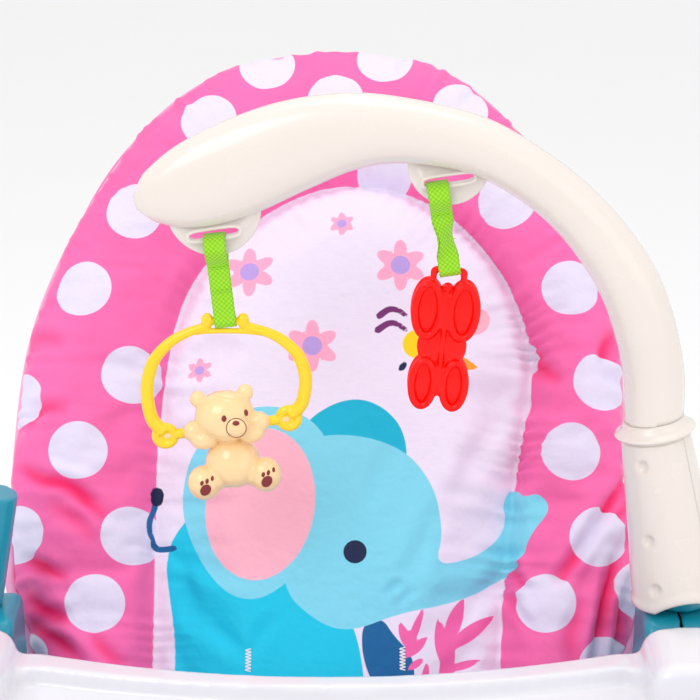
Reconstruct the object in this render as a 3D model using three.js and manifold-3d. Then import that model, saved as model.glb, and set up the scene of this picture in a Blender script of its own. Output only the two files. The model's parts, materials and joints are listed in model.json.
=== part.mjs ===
// A baby's bouncer seat: two rocker runners with side pillars, a reclining back, a lift-off front tray
// and a swivelling toy arm. Millimetres, Z up. The child faces -Y, X runs across the seat, and the
// origin lies on the floor in the middle of the runners' length and width.
import * as THREE from 'three';
import { mergeVertices } from 'three/addons/utils/BufferGeometryUtils.js';
import Module from 'manifold-3d';

const wasm = await Module();
wasm.setup();

// ---- Driving dimensions ----
const GAP = 0.3;
const ROUND = 16;

const BASE_HALF_LENGTH = 330;
const RUNNER = { radius: 900, lowY: -60, height: 40, inner: 188, outer: 212, wall: 3, facet: 34 };
const RUNNER_STEP = RUNNER.facet / RUNNER.radius;
const RUNNER_CENTRE_Z = RUNNER.radius * Math.cos(RUNNER_STEP / 2);
const RUNNER_MIDDLE = RUNNER.radius - RUNNER.height / 2;
const CROSS_TUBE_Y = 300;
const TUBE = { radius: 11, wall: 1.4 };

const PILLAR = { inner: 179, outer: 221, split: 200, top: 316, wall: 3 };
const PILLAR_FOOT = { front: -105, rear: 135, gap: 0.5 };
const PILLAR_CURVE = 8;
const TRAY_PEG = { shelf: 264, top: 294, front: -78, rear: -40 };
const PEG_PLAY = 0.8;
const RECLINE = { y: 13, z: 165, leanDeg: 30 };
const HUB_DISC = { radius: 28, inner: 153, outer: 178.4 };

const POST = { x: 202, baseZ: PILLAR.top + GAP, radius: 14, length: 70, leanDeg: 10 };
const SLEEVE = { start: 5.5, end: 105, bore: 14.5, archRadius: 26, archTop: 11 };
const COLLAR = { start: SLEEVE.end + GAP, height: 9, radius: 22, spigot: 28 };

const NECK = { radius: 12, height: 16 };

const BACK = { halfWidth: 188, length: 486, back: 12, front: 45, shoulder: 158 };
const SEAT = { halfWidth: 172, tubeX: 160, frontY: -264 };

const TRAY = { halfWidth: 231, top: 302, floor: 291, web: 3, bottom: 273, rear: -32, front: -262 };
const TRAY_CURVE_HALF_WIDTH = 160;
const TRAY_CURVE = 18;
const LUG = { inner: 174.5, top: 318, bottom: 266, front: -90, rear: -32 };
const LATCH = { radius: 8, inner: 225.5, outer: 234 };

const TOY_Y = 2.3;
const TOY_TILT = THREE.MathUtils.degToRad(8.5);
const LEFT_STRAP_TILT = THREE.MathUtils.degToRad(6);
const BUTTERFLY_TILT = THREE.MathUtils.degToRad(-5);
const HANGER = { thickness: 4, slotHeight: 4.2, slotLength: 27 };
const STRAP = { width: 12, thickness: 1.2, drop: 50.5 };
const STRAP_LOOP = { halfWidth: 8.5, halfHeight: 7.2, drop: 7.8 };
const RING = { drop: 62, skew: 5.2, tube: 3.5, bar: 2, eyeletX: 34.8, eyelet: 7.2 };
const LEFT_SLOT = { x: -62.5, z: 535.3, disc: 26, discZ: 549, strapShift: 0 };
const RIGHT_SLOT = { x: 65.8, z: 565.5, disc: 22.5, discZ: 573.8, strapShift: -6.5 };

const BUCKLE = { halfWidth: 34 };
const UNIT = { x: 56, front: -318, rear: -228, bottom: 32, top: 86, wall: 4 };
const KICKSTAND = { pivotY: 215, pivotZ: 70, armX: 168, barY: 240, barZ: 14, rod: 6, footX: 120 };

// ---- Colours ----
const COLOURS = {
  teal: [0x12a4bd, 0.35, 0],
  steel: [0xd8dade, 0.35, 0.8],
  cream: [0xece2d8, 0.25, 0],
  white: [0xf4f4f8, 0.2, 0],
  pink: [0xff6fb5, 0.9, 0],
  webbing: [0xe9dcf2, 0.9, 0],
  lime: [0x8ed820, 0.85, 0],
  yellow: [0xffd200, 0.3, 0],
  peach: [0xffdca5, 0.25, 0],
  red: [0xff2010, 0.2, 0],
  rubber: [0x3a3d42, 0.9, 0],
  purple: [0x8a6fc8, 0.3, 0],
  copper: [0x2f7d4a, 0.6, 0.1],
};

const seat = new THREE.Group();

function add(name, colour, geometry, holder = seat) {
  const [color, roughness, metalness] = COLOURS[colour];
  const mesh = new THREE.Mesh(geometry, new THREE.MeshStandardMaterial({ color, roughness, metalness }));
  mesh.name = name;
  holder.add(mesh);
}

// ---- Joining and cutting ----
function solidOf(geometry) {
  const bare = geometry.clone();
  bare.deleteAttribute('normal');
  bare.deleteAttribute('uv');
  const merged = mergeVertices(bare, 1e-3);
  const vertProperties = new Float32Array(merged.attributes.position.array);
  const triVerts = new Uint32Array(merged.index.array);
  return new wasm.Manifold(new wasm.Mesh({ numProp: 3, vertProperties, triVerts }));
}

function geometryOf(solid) {
  const mesh = solid.getMesh();
  const geometry = new THREE.BufferGeometry();
  geometry.setAttribute('position', new THREE.BufferAttribute(new Float32Array(mesh.vertProperties), 3));
  geometry.setIndex(new THREE.BufferAttribute(new Uint32Array(mesh.triVerts), 1));
  geometry.computeVertexNormals();
  return geometry;
}

function cut(body, ...tools) {
  return geometryOf(tools.reduce((solid, tool) => solid.subtract(solidOf(tool)), solidOf(body)));
}

function join(...bodies) {
  return geometryOf(bodies.map(solidOf).reduce((solid, other) => solid.add(other)));
}

function keep(body, region) {
  return geometryOf(solidOf(body).intersect(solidOf(region)));
}

// ---- Basic shapes ----
function box(xLow, xHigh, yLow, yHigh, zLow, zHigh) {
  const geometry = new THREE.BoxGeometry(xHigh - xLow, yHigh - yLow, zHigh - zLow);
  return geometry.translate((xLow + xHigh) / 2, (yLow + yHigh) / 2, (zLow + zHigh) / 2);
}

// A rod from low to high along one axis; first and second place it on the other two, in X, Y, Z order.
function rod(axis, radius, low, high, first, second, sides = ROUND) {
  const geometry = new THREE.CylinderGeometry(radius, radius, high - low, sides);
  const middle = (low + high) / 2;
  if (axis === 'x') return geometry.rotateZ(Math.PI / 2).translate(middle, first, second);
  if (axis === 'y') return geometry.translate(first, middle, second);
  return geometry.rotateX(Math.PI / 2).translate(first, second, middle);
}

function ball(radius, x, y, z, scale = [1, 1, 1]) {
  return new THREE.SphereGeometry(radius, 10, 6).scale(...scale).translate(x, y, z);
}

function extrude(shape, depth, bevel, curveSegments) {
  const options = { depth: depth - 2 * bevel, bevelEnabled: bevel > 0, curveSegments };
  Object.assign(options, { bevelSize: bevel, bevelThickness: bevel, bevelOffset: -bevel, bevelSegments: 1 });
  return new THREE.ExtrudeGeometry(shape, options).translate(0, 0, bevel);
}

// Extrudes a side view, drawn as (y, z), across the seat from xLow to xHigh.
function sideExtrusion(shape, xLow, xHigh, bevel = 0, curveSegments = 8) {
  const axes = [new THREE.Vector3(0, 1, 0), new THREE.Vector3(0, 0, 1), new THREE.Vector3(1, 0, 0)];
  const turn = new THREE.Matrix4().makeBasis(...axes);
  return extrude(shape, xHigh - xLow, bevel, curveSegments).applyMatrix4(turn).translate(xLow, 0, 0);
}

// Extrudes a front view, drawn as (x, z), from yLow back to yHigh.
function frontExtrusion(shape, yLow, yHigh, bevel = 0, curveSegments = 8) {
  return extrude(shape, yHigh - yLow, bevel, curveSegments).rotateX(Math.PI / 2).translate(0, yHigh, 0);
}

// Extrudes a plan view, drawn as (x, y), from zLow up to zHigh.
function planExtrusion(shape, zLow, zHigh, bevel = 0, curveSegments = 8) {
  return extrude(shape, zHigh - zLow, bevel, curveSegments).translate(0, 0, zLow);
}

function ellipse(x, y, halfWidth, halfHeight) {
  const shape = new THREE.Shape();
  shape.absellipse(x, y, halfWidth, halfHeight, 0, 2 * Math.PI);
  return shape;
}

function outline(points) {
  return new THREE.Shape(points.map(([x, y]) => new THREE.Vector2(x, y)));
}

function tube(points, radius, wall, steps) {
  const section = new THREE.Shape();
  section.absarc(0, 0, radius, 0, 2 * Math.PI);
  if (wall > 0) {
    const bore = new THREE.Path();
    bore.absarc(0, 0, radius - wall, 0, 2 * Math.PI, true);
    section.holes.push(bore);
  }
  const route = new THREE.CatmullRomCurve3(points.map((point) => new THREE.Vector3(...point)), false);
  return new THREE.ExtrudeGeometry(section, { steps, curveSegments: 4, extrudePath: route });
}

function mirrored(points) {
  return [...points, ...points.slice().reverse().map(([x, y, z]) => [-x, y, z])];
}

// A closed skin through rings of equal point counts, capped at both ends.
function loft(rings) {
  const count = rings[0].length;
  const positions = rings.flat().flatMap((point) => point.toArray());
  const index = [];
  for (let ring = 0; ring + 1 < rings.length; ring += 1) {
    for (let side = 0; side < count; side += 1) {
      const next = (side + 1) % count;
      const [a, b] = [ring * count + side, ring * count + next];
      index.push(a, b, a + count, b, b + count, a + count);
    }
  }
  const last = (rings.length - 1) * count;
  for (let side = 1; side + 1 < count; side += 1) {
    index.push(0, side + 1, side);
    index.push(last, last + side, last + side + 1);
  }
  const geometry = new THREE.BufferGeometry();
  geometry.setAttribute('position', new THREE.Float32BufferAttribute(positions, 3));
  geometry.setIndex(index);
  return geometry;
}

// ---- Runners and cross tubes ----
function runnerAngle(y) {
  return Math.asin((y - RUNNER.lowY) / RUNNER.radius);
}

function onRunner(radius, angle) {
  return [RUNNER.lowY + radius * Math.sin(angle), RUNNER_CENTRE_Z - radius * Math.cos(angle)];
}

// Points along an arc of the runner, with a flat facet resting on the floor at its lowest place.
function runnerArc(radius, from, to) {
  const points = [onRunner(radius, from)];
  const first = (Math.ceil(from / RUNNER_STEP) + 0.5) * RUNNER_STEP;
  for (let angle = first; angle < to - RUNNER_STEP / 4; angle += RUNNER_STEP) {
    points.push(onRunner(radius, angle));
  }
  points.push(onRunner(radius, to));
  return points;
}

function runnerBand(inset, from, to) {
  const lower = runnerArc(RUNNER.radius - inset, from, to);
  const upper = runnerArc(RUNNER.radius - RUNNER.height + inset, from, to);
  return outline([...lower, ...upper.reverse()]);
}

function crossTubeZ(y) {
  const angle = Math.asin((y - RUNNER.lowY) / RUNNER_MIDDLE);
  return onRunner(RUNNER_MIDDLE, angle)[1];
}

function runner(side) {
  const ends = [runnerAngle(-BASE_HALF_LENGTH), runnerAngle(BASE_HALF_LENGTH)];
  const [near, far] = side > 0 ? [RUNNER.inner, RUNNER.outer] : [-RUNNER.outer, -RUNNER.inner];
  const hollowFrom = side > 0 ? near - 1 : near + RUNNER.wall;
  const hollow = runnerBand(RUNNER.wall, runnerAngle(-265), runnerAngle(190));
  const pocketDepth = RUNNER.outer - RUNNER.inner - RUNNER.wall + 1;
  const pocket = sideExtrusion(hollow, hollowFrom, hollowFrom + pocketDepth);
  const bores = [-CROSS_TUBE_Y, CROSS_TUBE_Y].map((y) => {
    const reach = [side * (RUNNER.inner - 1), side * (RUNNER.inner + 15)].sort((a, b) => a - b);
    return rod('x', TUBE.radius + GAP, ...reach, y, crossTubeZ(y));
  });
  const pinReach = [side * (RUNNER.inner - 1), side * (RUNNER.inner + 13)].sort((a, b) => a - b);
  const pinBore = rod('x', 4 + GAP, ...pinReach, KICKSTAND.pivotY, KICKSTAND.pivotZ);
  return cut(sideExtrusion(runnerBand(0, ...ends), near, far, 2), pocket, ...bores, pinBore);
}

function runnerPad(side, fromY, toY) {
  const [from, to] = [runnerAngle(fromY), runnerAngle(toY)];
  const lower = runnerArc(RUNNER.radius + 2.4, from, to);
  const upper = runnerArc(RUNNER.radius + GAP + 0.1, from, to);
  const reach = [side * (RUNNER.inner + 3), side * (RUNNER.outer - 3)].sort((a, b) => a - b);
  return sideExtrusion(outline([...lower, ...upper.reverse()]), ...reach);
}

function crossTube(y) {
  const reach = RUNNER.inner + 14;
  return cut(
    rod('x', TUBE.radius, -reach, reach, y, crossTubeZ(y)),
    rod('x', TUBE.radius - TUBE.wall, -reach - 1, reach + 1, y, crossTubeZ(y)),
  );
}

// ---- Side pillars and posts ----
function pillarOutline(inset) {
  const seatRadius = RUNNER.radius - RUNNER.height - PILLAR_FOOT.gap - inset;
  const [from, to] = [runnerAngle(PILLAR_FOOT.front + inset), runnerAngle(PILLAR_FOOT.rear - inset)];
  const foot = runnerArc(seatRadius, from, to);
  const shape = outline(foot);
  shape.quadraticCurveTo(60 - inset, 110, 64 - inset, RECLINE.z);
  shape.quadraticCurveTo(68 - inset, 215, 42 - inset, 250);
  shape.quadraticCurveTo(28 - inset, 270, 27 - inset, 300);
  shape.quadraticCurveTo(26 - inset, PILLAR.top - inset, 14, PILLAR.top - inset);
  shape.lineTo(-14, PILLAR.top - inset);
  shape.quadraticCurveTo(-28 + inset, PILLAR.top - inset, -28 + inset, 300);
  shape.lineTo(-30 + inset, TRAY_PEG.shelf - inset);
  shape.lineTo(TRAY_PEG.rear - inset, TRAY_PEG.shelf - inset);
  shape.lineTo(TRAY_PEG.rear - inset, TRAY_PEG.top - inset);
  shape.lineTo(TRAY_PEG.front + inset, TRAY_PEG.top - inset);
  shape.lineTo(TRAY_PEG.front + inset, TRAY_PEG.shelf - inset);
  shape.lineTo(-92 + inset, TRAY_PEG.shelf - inset);
  shape.quadraticCurveTo(-92 + inset, 225, -52 + inset, 170);
  shape.quadraticCurveTo(-40 + inset, 110, ...foot[0]);
  return shape;
}

function pillarHalf(side, outside) {
  const { inner, outer, wall } = PILLAR;
  const whole = sideExtrusion(pillarOutline(0), inner, outer, wall, PILLAR_CURVE);
  const hollow = sideExtrusion(pillarOutline(wall), inner + wall, outer - wall, 0, PILLAR_CURVE);
  const buttonBore = rod('x', 12 + GAP, PILLAR.outer - 9, PILLAR.outer + 1, RECLINE.y, RECLINE.z);
  const half = outside
    ? box(PILLAR.split + GAP / 2, PILLAR.outer + 5, -200, 200, 0, 400)
    : box(PILLAR.inner - 5, PILLAR.split - GAP / 2, -200, 200, 0, 400);
  const shell = keep(outside ? cut(whole, hollow, buttonBore) : cut(whole, hollow), half);
  return side > 0 ? shell : flippedX(shell);
}

function flippedX(geometry) {
  const flipped = geometry.clone().scale(-1, 1, 1);
  const { array } = flipped.index;
  for (let corner = 0; corner < array.length; corner += 3) {
    [array[corner], array[corner + 1]] = [array[corner + 1], array[corner]];
  }
  flipped.computeVertexNormals();
  return flipped;
}

// Turns a body drawn upright at the origin so that it stands on the right pillar's leaning post axis.
function onPost(geometry) {
  return geometry.rotateY(-THREE.MathUtils.degToRad(POST.leanDeg)).translate(POST.x, 0, POST.baseZ);
}

function post(side) {
  const upright = onPost(rod('z', POST.radius, -10, POST.length, 0, 0));
  const stub = keep(upright, box(100, 300, -50, 50, POST.baseZ, 500));
  return side > 0 ? stub : flippedX(stub);
}

// ---- Toy arm ----
function latheProfile(points) {
  const profile = points.map(([radius, height]) => new THREE.Vector2(radius, height));
  return new THREE.LatheGeometry(profile, 24).rotateX(Math.PI / 2);
}

function sleeveHalf(outside) {
  const { start, end, bore } = SLEEVE;
  const flare = [[26, start], [27, start + 3], [25.6, 24], [23.4, 50], [21.4, 80], [19.4, end]];
  const skin = [[bore, start], ...flare, [bore, end]];
  const whole = latheProfile([...skin, skin[0]]);
  const arch = rod('y', SLEEVE.archRadius, -40, 40, 0, SLEEVE.archTop - SLEEVE.archRadius);
  const half = outside ? box(GAP / 2, 40, -40, 40, -30, 120) : box(-40, -GAP / 2, -40, 40, -30, 120);
  return onPost(keep(cut(whole, arch), half));
}

function armCollar() {
  const { start, height, radius, spigot } = COLLAR;
  const top = start + height;
  const edge = 2;
  const profile = [
    [0, start - spigot], [POST.radius, start - spigot], [POST.radius, start], [radius - edge, start],
    [radius, start + edge], [radius, top - edge], [radius - edge, top],
    [NECK.radius, top], [NECK.radius, top + NECK.height], [0, top + NECK.height],
  ];
  return onPost(latheProfile(profile));
}

// Centre line of the arm with its half widths: [x, z, half width, half depth].
const ARM_STATIONS = [
  [182.6, 426, 16.4, 16.4], [180.6, 460, 17, 16.5], [169, 500, 17, 16.5], [151, 530, 16, 16],
  [128, 555, 15, 15.5], [101, 574.5, 15, 15.5], [74.5, 586.7, 16, 15.5], [38, 593, 18, 15],
  [9.4, 592, 21.5, 14.5], [-21.4, 583.5, 25.3, 14], [-51.5, 571, 26.5, 13.5], [-77.5, 561, 22.8, 12],
  [-96, 555.5, 14.4, 8.5], [-105, 553, 4, 3],
];

// Half of the arm, on the front (-1) or back (+1) of its parting plane, made thinner by the inset.
function armHalf(side, inset, start, end) {
  const centre = new THREE.CatmullRomCurve3(ARM_STATIONS.map(([x, z]) => new THREE.Vector3(x, 0, z)));
  const sizes = ARM_STATIONS.map(([, , wide, deep]) => new THREE.Vector3(wide, deep, 0));
  const girth = new THREE.CatmullRomCurve3(sizes);
  const rings = [];
  const stations = 16;
  const spread = 5;
  for (let station = 0; station <= stations; station += 1) {
    const along = start + (end - start) * station / stations;
    const middle = centre.getPoint(along);
    const ahead = centre.getTangent(along);
    const across = new THREE.Vector3(-ahead.z, 0, ahead.x);
    const { x: wide, y: deep } = girth.getPoint(along);
    const parting = inset > 0 ? -1 : GAP / 2;
    const ring = [];
    for (let turn = 0; turn <= spread; turn += 1) {
      const angle = Math.PI * turn / spread;
      const point = middle.clone().addScaledVector(across, (wide - inset) * Math.cos(angle));
      point.y = side * (parting + (deep - inset) * Math.sin(angle));
      ring.push(point);
    }
    rings.push(side > 0 ? ring.reverse() : ring);
  }
  return loft(rings);
}

function hangerTab({ x, discZ, disc, z }) {
  const plate = rod('y', disc, GAP, GAP + HANGER.thickness, x, discZ, 28);
  const [halfLength, halfHeight] = [HANGER.slotLength / 2, HANGER.slotHeight / 2];
  const slot = box(-halfLength, halfLength, -20, 20, -halfHeight, halfHeight);
  slot.rotateY(-TOY_TILT).translate(x, 0, z);
  return { plate, slot };
}

function armShell(side) {
  const hollow = armHalf(side, 2.5, 0.02, 0.94);
  const collarTop = COLLAR.start + COLLAR.height + GAP;
  const mouth = onPost(rod('z', NECK.radius + GAP, 100, collarTop + NECK.height, 0, 0));
  const below = onPost(box(-40, 40, -40, 40, 60, collarTop));
  const shell = cut(armHalf(side, 0, 0, 1), hollow, mouth, below);
  if (side < 0) return shell;
  const tabs = [hangerTab(LEFT_SLOT), hangerTab(RIGHT_SLOT)];
  return cut(join(shell, ...tabs.map(({ plate }) => plate)), ...tabs.map(({ slot }) => slot));
}

// ---- Hanging toys, each drawn about its slot or bar and then tilted into place ----
function hangingGroup(slot, hang, tilt, drop) {
  const [sine, cosine] = [Math.sin(hang), Math.cos(hang)];
  const x = slot.x + slot.strapShift * cosine + drop * sine;
  return tiltedGroup(x, slot.z + slot.strapShift * sine - drop * cosine, tilt);
}

function tiltedGroup(x, z, tilt) {
  const group = new THREE.Group();
  group.position.set(x, TOY_Y, z);
  group.rotation.y = -tilt;
  seat.add(group);
  return group;
}

function hangerStrap() {
  const { width, thickness, drop } = STRAP;
  const { halfWidth: loopHalfWidth, halfHeight: loopHalfHeight, drop: loopDrop } = STRAP_LOOP;
  const half = width / 2;
  const outside = ellipse(0, -loopDrop, loopHalfWidth + thickness, loopHalfHeight + thickness);
  const inside = ellipse(0, -loopDrop, loopHalfWidth, loopHalfHeight);
  const eye = RING.bar + 0.8;
  const band = box(-half, half, -thickness, thickness, -drop, -loopDrop - loopHalfHeight - thickness / 2);
  const eyeOutside = rod('x', eye + thickness, -half, half, 0, -drop);
  const whole = join(sideExtrusion(outside, -half, half), band, eyeOutside);
  return cut(whole, sideExtrusion(inside, -half - 1, half + 1), rod('x', eye, -half - 1, half + 1, 0, -drop));
}

// The hoop hangs a little lower on its left, so that the bear's cross bar lies tilted.
function toyRing() {
  const { drop, skew, tube: thickness, bar, eyeletX, eyelet } = RING;
  const halfRoute = [
    [eyeletX, 0, -drop], [42, 0, 10 - drop], [44, 0, 25 - drop], [37, 0, 45 - drop], [20, 0, 57.5 - drop],
  ];
  const route = mirrored(halfRoute);
  route.splice(halfRoute.length, 0, [0, 0, 61.5 - drop]);
  const skewed = route.map(([x, y, z]) => [x, y, z - (Math.sign(x) * skew * z) / drop]);
  const hoop = cut(tube(skewed, thickness, 0, 18), box(-7, 7, -10, 10, -12, 10));
  const parts = [rod('x', bar, -12, 12, 0, 0)];
  const bores = [];
  for (const side of [-1, 1]) {
    parts.push(box(side * 10 - 3, side * 10 + 3, -3.5, 3.5, -4, 4));
    parts.push(rod('y', eyelet, -4.5, 4.5, side * eyeletX, side * skew - drop));
    const reach = [side * (eyeletX - 9), side * (eyeletX + 3)].sort((a, b) => a - b);
    bores.push(rod('x', 2 + GAP, ...reach, 0, 0).rotateY(-TOY_TILT).translate(0, 0, -drop));
  }
  return cut(join(hoop, ...parts), ...bores);
}

// Drawn about its cross bar.
function tumblingBear() {
  const parts = [ball(16.2, 0, 0, 6.5, [1, 0.85, 1]), ball(15.7, 0, 0, -21, [1, 0.85, 1])];
  const reach = RING.eyeletX + 1.5;
  for (const side of [-1, 1]) {
    parts.push(ball(4.8, side * 12.5, 0, 18.5));
    parts.push(ball(9.3, side * 16.5, -4, -29.5));
    parts.push(ball(6, side * 17.5, 0, 1));
    parts.push(rod('x', 2, ...(side > 0 ? [14, reach] : [-reach, -14]), 0, 0));
  }
  return join(...parts);
}

function butterfly() {
  const half = 6;
  const web = 1.5;
  const lobes = [ellipse(0, -44, 13.6, 14)];
  const pockets = [];
  for (const side of [-1, 1]) {
    lobes.push(ellipse(side * 9.7, -24.5, 9.9, 20), ellipse(side * 8.5, -63, 8.6, 18));
    pockets.push(ellipse(side * 9.4, -22.6, 6.2, 14), ellipse(side * 8.7, -63.5, 5.2, 12));
  }
  const posts = [-9.8, 7.4].map((x) => box(x, x + 2.4, -3.5, 3.5, -12, 2));
  const wings = lobes.map((lobe) => frontExtrusion(lobe, -half, half, 1.5, 6));
  const hollows = pockets.flatMap((pocket) => [
    frontExtrusion(pocket, -half - 1, -web, 0, 5),
    frontExtrusion(pocket, web, half + 1, 0, 5),
  ]);
  const mouth = box(-7.4, 7.4, -10, 10, -6.4, 4.6);
  const bar = rod('x', 1.3, -9, 9, 0, 0);
  return join(cut(join(...wings, ...posts), ...hollows, mouth), bar);
}

// ---- Backrest ----
function backFrame() {
  const group = new THREE.Group();
  group.position.set(0, RECLINE.y, RECLINE.z);
  group.rotation.x = -THREE.MathUtils.degToRad(RECLINE.leanDeg);
  seat.add(group);
  return group;
}

function hubDisc(side) {
  const reach = [side * HUB_DISC.inner, side * HUB_DISC.outer].sort((a, b) => a - b);
  const socket = rod('z', TUBE.radius + GAP, 10, 40, side * 166, 0);
  return cut(rod('x', HUB_DISC.radius, ...reach, 0, 0, 28), socket);
}

function backTube() {
  const half = [[166, 0, 11], [166, 0, 98], [167, 0, 198], [165, 0, 298], [148, 0, 374], [106, 0, 434]];
  const route = mirrored(half);
  route.splice(half.length, 0, [40, 0, 459], [-40, 0, 459]);
  return tube(route, TUBE.radius, TUBE.wall, 22);
}

function backCushion() {
  const { halfWidth, length, back, front, shoulder } = BACK;
  const shape = new THREE.Shape();
  shape.moveTo(-146, 18);
  shape.lineTo(146, 18);
  shape.quadraticCurveTo(150, shoulder - 58, 168, shoulder - 46);
  shape.quadraticCurveTo(halfWidth, shoulder - 34, halfWidth, shoulder);
  shape.lineTo(halfWidth - 1, shoulder + 120);
  shape.bezierCurveTo(halfWidth - 6, shoulder + 210, 120, length, 0, length);
  shape.bezierCurveTo(-120, length, 6 - halfWidth, shoulder + 210, 1 - halfWidth, shoulder + 120);
  shape.lineTo(-halfWidth, shoulder);
  shape.quadraticCurveTo(-halfWidth, shoulder - 34, -168, shoulder - 46);
  shape.quadraticCurveTo(-150, shoulder - 58, -146, 18);
  return frontExtrusion(shape, -front, -back, 9, 6);
}

// ---- Seat ----
function seatTube() {
  const half = [[175.5, -41, 134], [168, -42, 134.5], [SEAT.tubeX, -58, 137], [SEAT.tubeX, -130, 149],
    [SEAT.tubeX - 2, -212, 157], [144, -247, 160]];
  const route = mirrored(half);
  route.splice(half.length, 0, [100, SEAT.frontY, 162], [-100, SEAT.frontY, 162]);
  return tube(route, TUBE.radius, TUBE.wall, 24);
}

function seatCushion() {
  const shape = new THREE.Shape();
  shape.moveTo(-18, 149);
  shape.lineTo(-18, 174);
  shape.quadraticCurveTo(-19, 179, -27, 180);
  shape.quadraticCurveTo(-130, 180, -245, 212);
  shape.quadraticCurveTo(-312, 226, -318, 160);
  shape.quadraticCurveTo(-316, 146, -296, 148);
  shape.quadraticCurveTo(-282, 196, -250, 181);
  shape.quadraticCurveTo(-120, 163, -60, 152);
  return sideExtrusion(shape, -SEAT.halfWidth, SEAT.halfWidth, 0, 6);
}

// ---- Harness ----
function waistStrap(side) {
  const thickness = 1.6;
  const middle = side * 47;
  const route = [[15, 266], [-22, 202], [-33, 187], [-48, 184], [-66, 185.4]];
  const back = route.map(([y, z]) => [y - thickness, z + thickness]).reverse();
  return sideExtrusion(outline([...route, ...back]), middle - 11, middle + 11);
}

function buckleSocket() {
  const side = outline([[-116, 190], [-64, 187], [-64, 200], [-70, 204], [-110, 205], [-116, 201]]);
  const body = sideExtrusion(side, -BUCKLE.halfWidth, BUCKLE.halfWidth, 1.5);
  return cut(body, box(-BUCKLE.halfWidth - 6, BUCKLE.halfWidth + 6, -94, -68.6, 193.6, 197.8));
}

function buckleTongue(side) {
  const reach = [side * 8, side * 60].sort((a, b) => a - b);
  return box(...reach, -93.4, -69.2, 194.2, 197.2);
}

function crotchStrap() {
  return sideExtrusion(outline([[-117, 191.5], [-160, 197], [-160, 198.8], [-117, 193.3]]), -12, 12);
}

// ---- Kickstand ----
function kickstandBail() {
  const { armX, pivotY, pivotZ, barY, barZ, rod: radius } = KICKSTAND;
  const half = [[armX, pivotY + 3, pivotZ - 7], [armX, barY - 6, 34], [armX - 5, barY - 1, 21],
    [armX - 16, barY, barZ], [armX - 30, barY, barZ]];
  const route = mirrored(half);
  route.splice(half.length, 0, [60, barY, barZ], [-60, barY, barZ]);
  const eyes = [-1, 1].map((side) => rod('x', 11, side * armX - 5, side * armX + 5, pivotY, pivotZ));
  const bores = [-1, 1].map((side) => rod('x', 4 + GAP, side * armX - 6, side * armX + 6, pivotY, pivotZ));
  return cut(join(tube(route, radius, 0, 24), ...eyes), ...bores);
}

function kickstandFoot(side) {
  const { barY, barZ, rod: radius, footX } = KICKSTAND;
  const shape = outline([[barY - 15, 0], [barY + 15, 0], [barY + 11, barZ + 10], [barY - 11, barZ + 10]]);
  const middle = side * footX;
  const bore = rod('x', radius + 3 * GAP, middle - 30, middle + 30, barY, barZ);
  return cut(sideExtrusion(shape, middle - 22, middle + 22, 1.2), bore);
}

function kickstandPin(side) {
  const { armX, pivotY, pivotZ } = KICKSTAND;
  const reach = [side * (armX - 10), side * (RUNNER.inner + 12)].sort((a, b) => a - b);
  const head = [side * (armX - 10), side * (armX - 7)].sort((a, b) => a - b);
  return join(rod('x', 4, ...reach, pivotY, pivotZ), rod('x', 7, ...head, pivotY, pivotZ));
}

// ---- Tray ----
// The tray's plan: a curved-in edge facing the child and a bowed front, drawn inside its rim by the inset.
function trayOutline(inset, rear, sag, rearHalfWidth) {
  const side = TRAY.halfWidth - inset;
  const front = TRAY.front + inset;
  const shape = new THREE.Shape();
  shape.moveTo(-rearHalfWidth, rear);
  shape.lineTo(-TRAY_CURVE_HALF_WIDTH, rear);
  shape.quadraticCurveTo(0, rear - 2 * sag, TRAY_CURVE_HALF_WIDTH, rear);
  shape.lineTo(rearHalfWidth, rear);
  shape.lineTo(side, Math.min(rear, LUG.front) - inset);
  shape.bezierCurveTo(side - 6, -190 + inset, 140, front, 0, front);
  shape.bezierCurveTo(-140, front, 6 - side, -190 + inset, -side, Math.min(rear, LUG.front) - inset);
  return shape;
}

function trayShell() {
  const { rear, bottom, top, floor, web, halfWidth } = TRAY;
  const board = planExtrusion(trayOutline(0, rear, 30, halfWidth), bottom, top, 4, TRAY_CURVE);
  const recess = planExtrusion(trayOutline(14, rear - 24, 24, 166), floor, top + 1, 0, TRAY_CURVE);
  const under = planExtrusion(trayOutline(9, rear - 9, 28, 168), bottom - 1, floor - web, 0, TRAY_CURVE);
  const lugs = [];
  const pockets = [];
  for (const side of [-1, 1]) {
    const [low, high] = [side * LUG.inner, side * halfWidth].sort((a, b) => a - b);
    const dome = new THREE.Shape();
    dome.moveTo(low, LUG.bottom);
    dome.lineTo(high, LUG.bottom);
    dome.lineTo(high, LUG.top - 16);
    dome.quadraticCurveTo(high, LUG.top, high - 18, LUG.top);
    dome.lineTo(low + 18, LUG.top);
    dome.quadraticCurveTo(low, LUG.top, low, LUG.top - 16);
    lugs.push(frontExtrusion(dome, LUG.front, LUG.rear, 4, 6));
    const [inner, outer] = [side * (PILLAR.inner - 0.6), side * (PILLAR.outer + 0.6)].sort((a, b) => a - b);
    const [front, back] = [TRAY_PEG.front - PEG_PLAY, TRAY_PEG.rear + PEG_PLAY];
    pockets.push(box(inner, outer, front, back, LUG.bottom - 5, TRAY_PEG.top + 1));
    const bore = [side * (PILLAR.outer - 2), side * (halfWidth + 2)].sort((a, b) => a - b);
    pockets.push(rod('x', LATCH.radius + 0.4, ...bore, (LUG.front + LUG.rear) / 2, 282));
  }
  return cut(join(cut(board, recess, under), ...lugs), ...pockets);
}

function latchButton(side) {
  const reach = [side * LATCH.inner, side * LATCH.outer].sort((a, b) => a - b);
  return rod('x', LATCH.radius, ...reach, (LUG.front + LUG.rear) / 2, 282);
}

// ---- Vibration unit on the front cross tube ----
const tubeZ = crossTubeZ(-CROSS_TUBE_Y);

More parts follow.
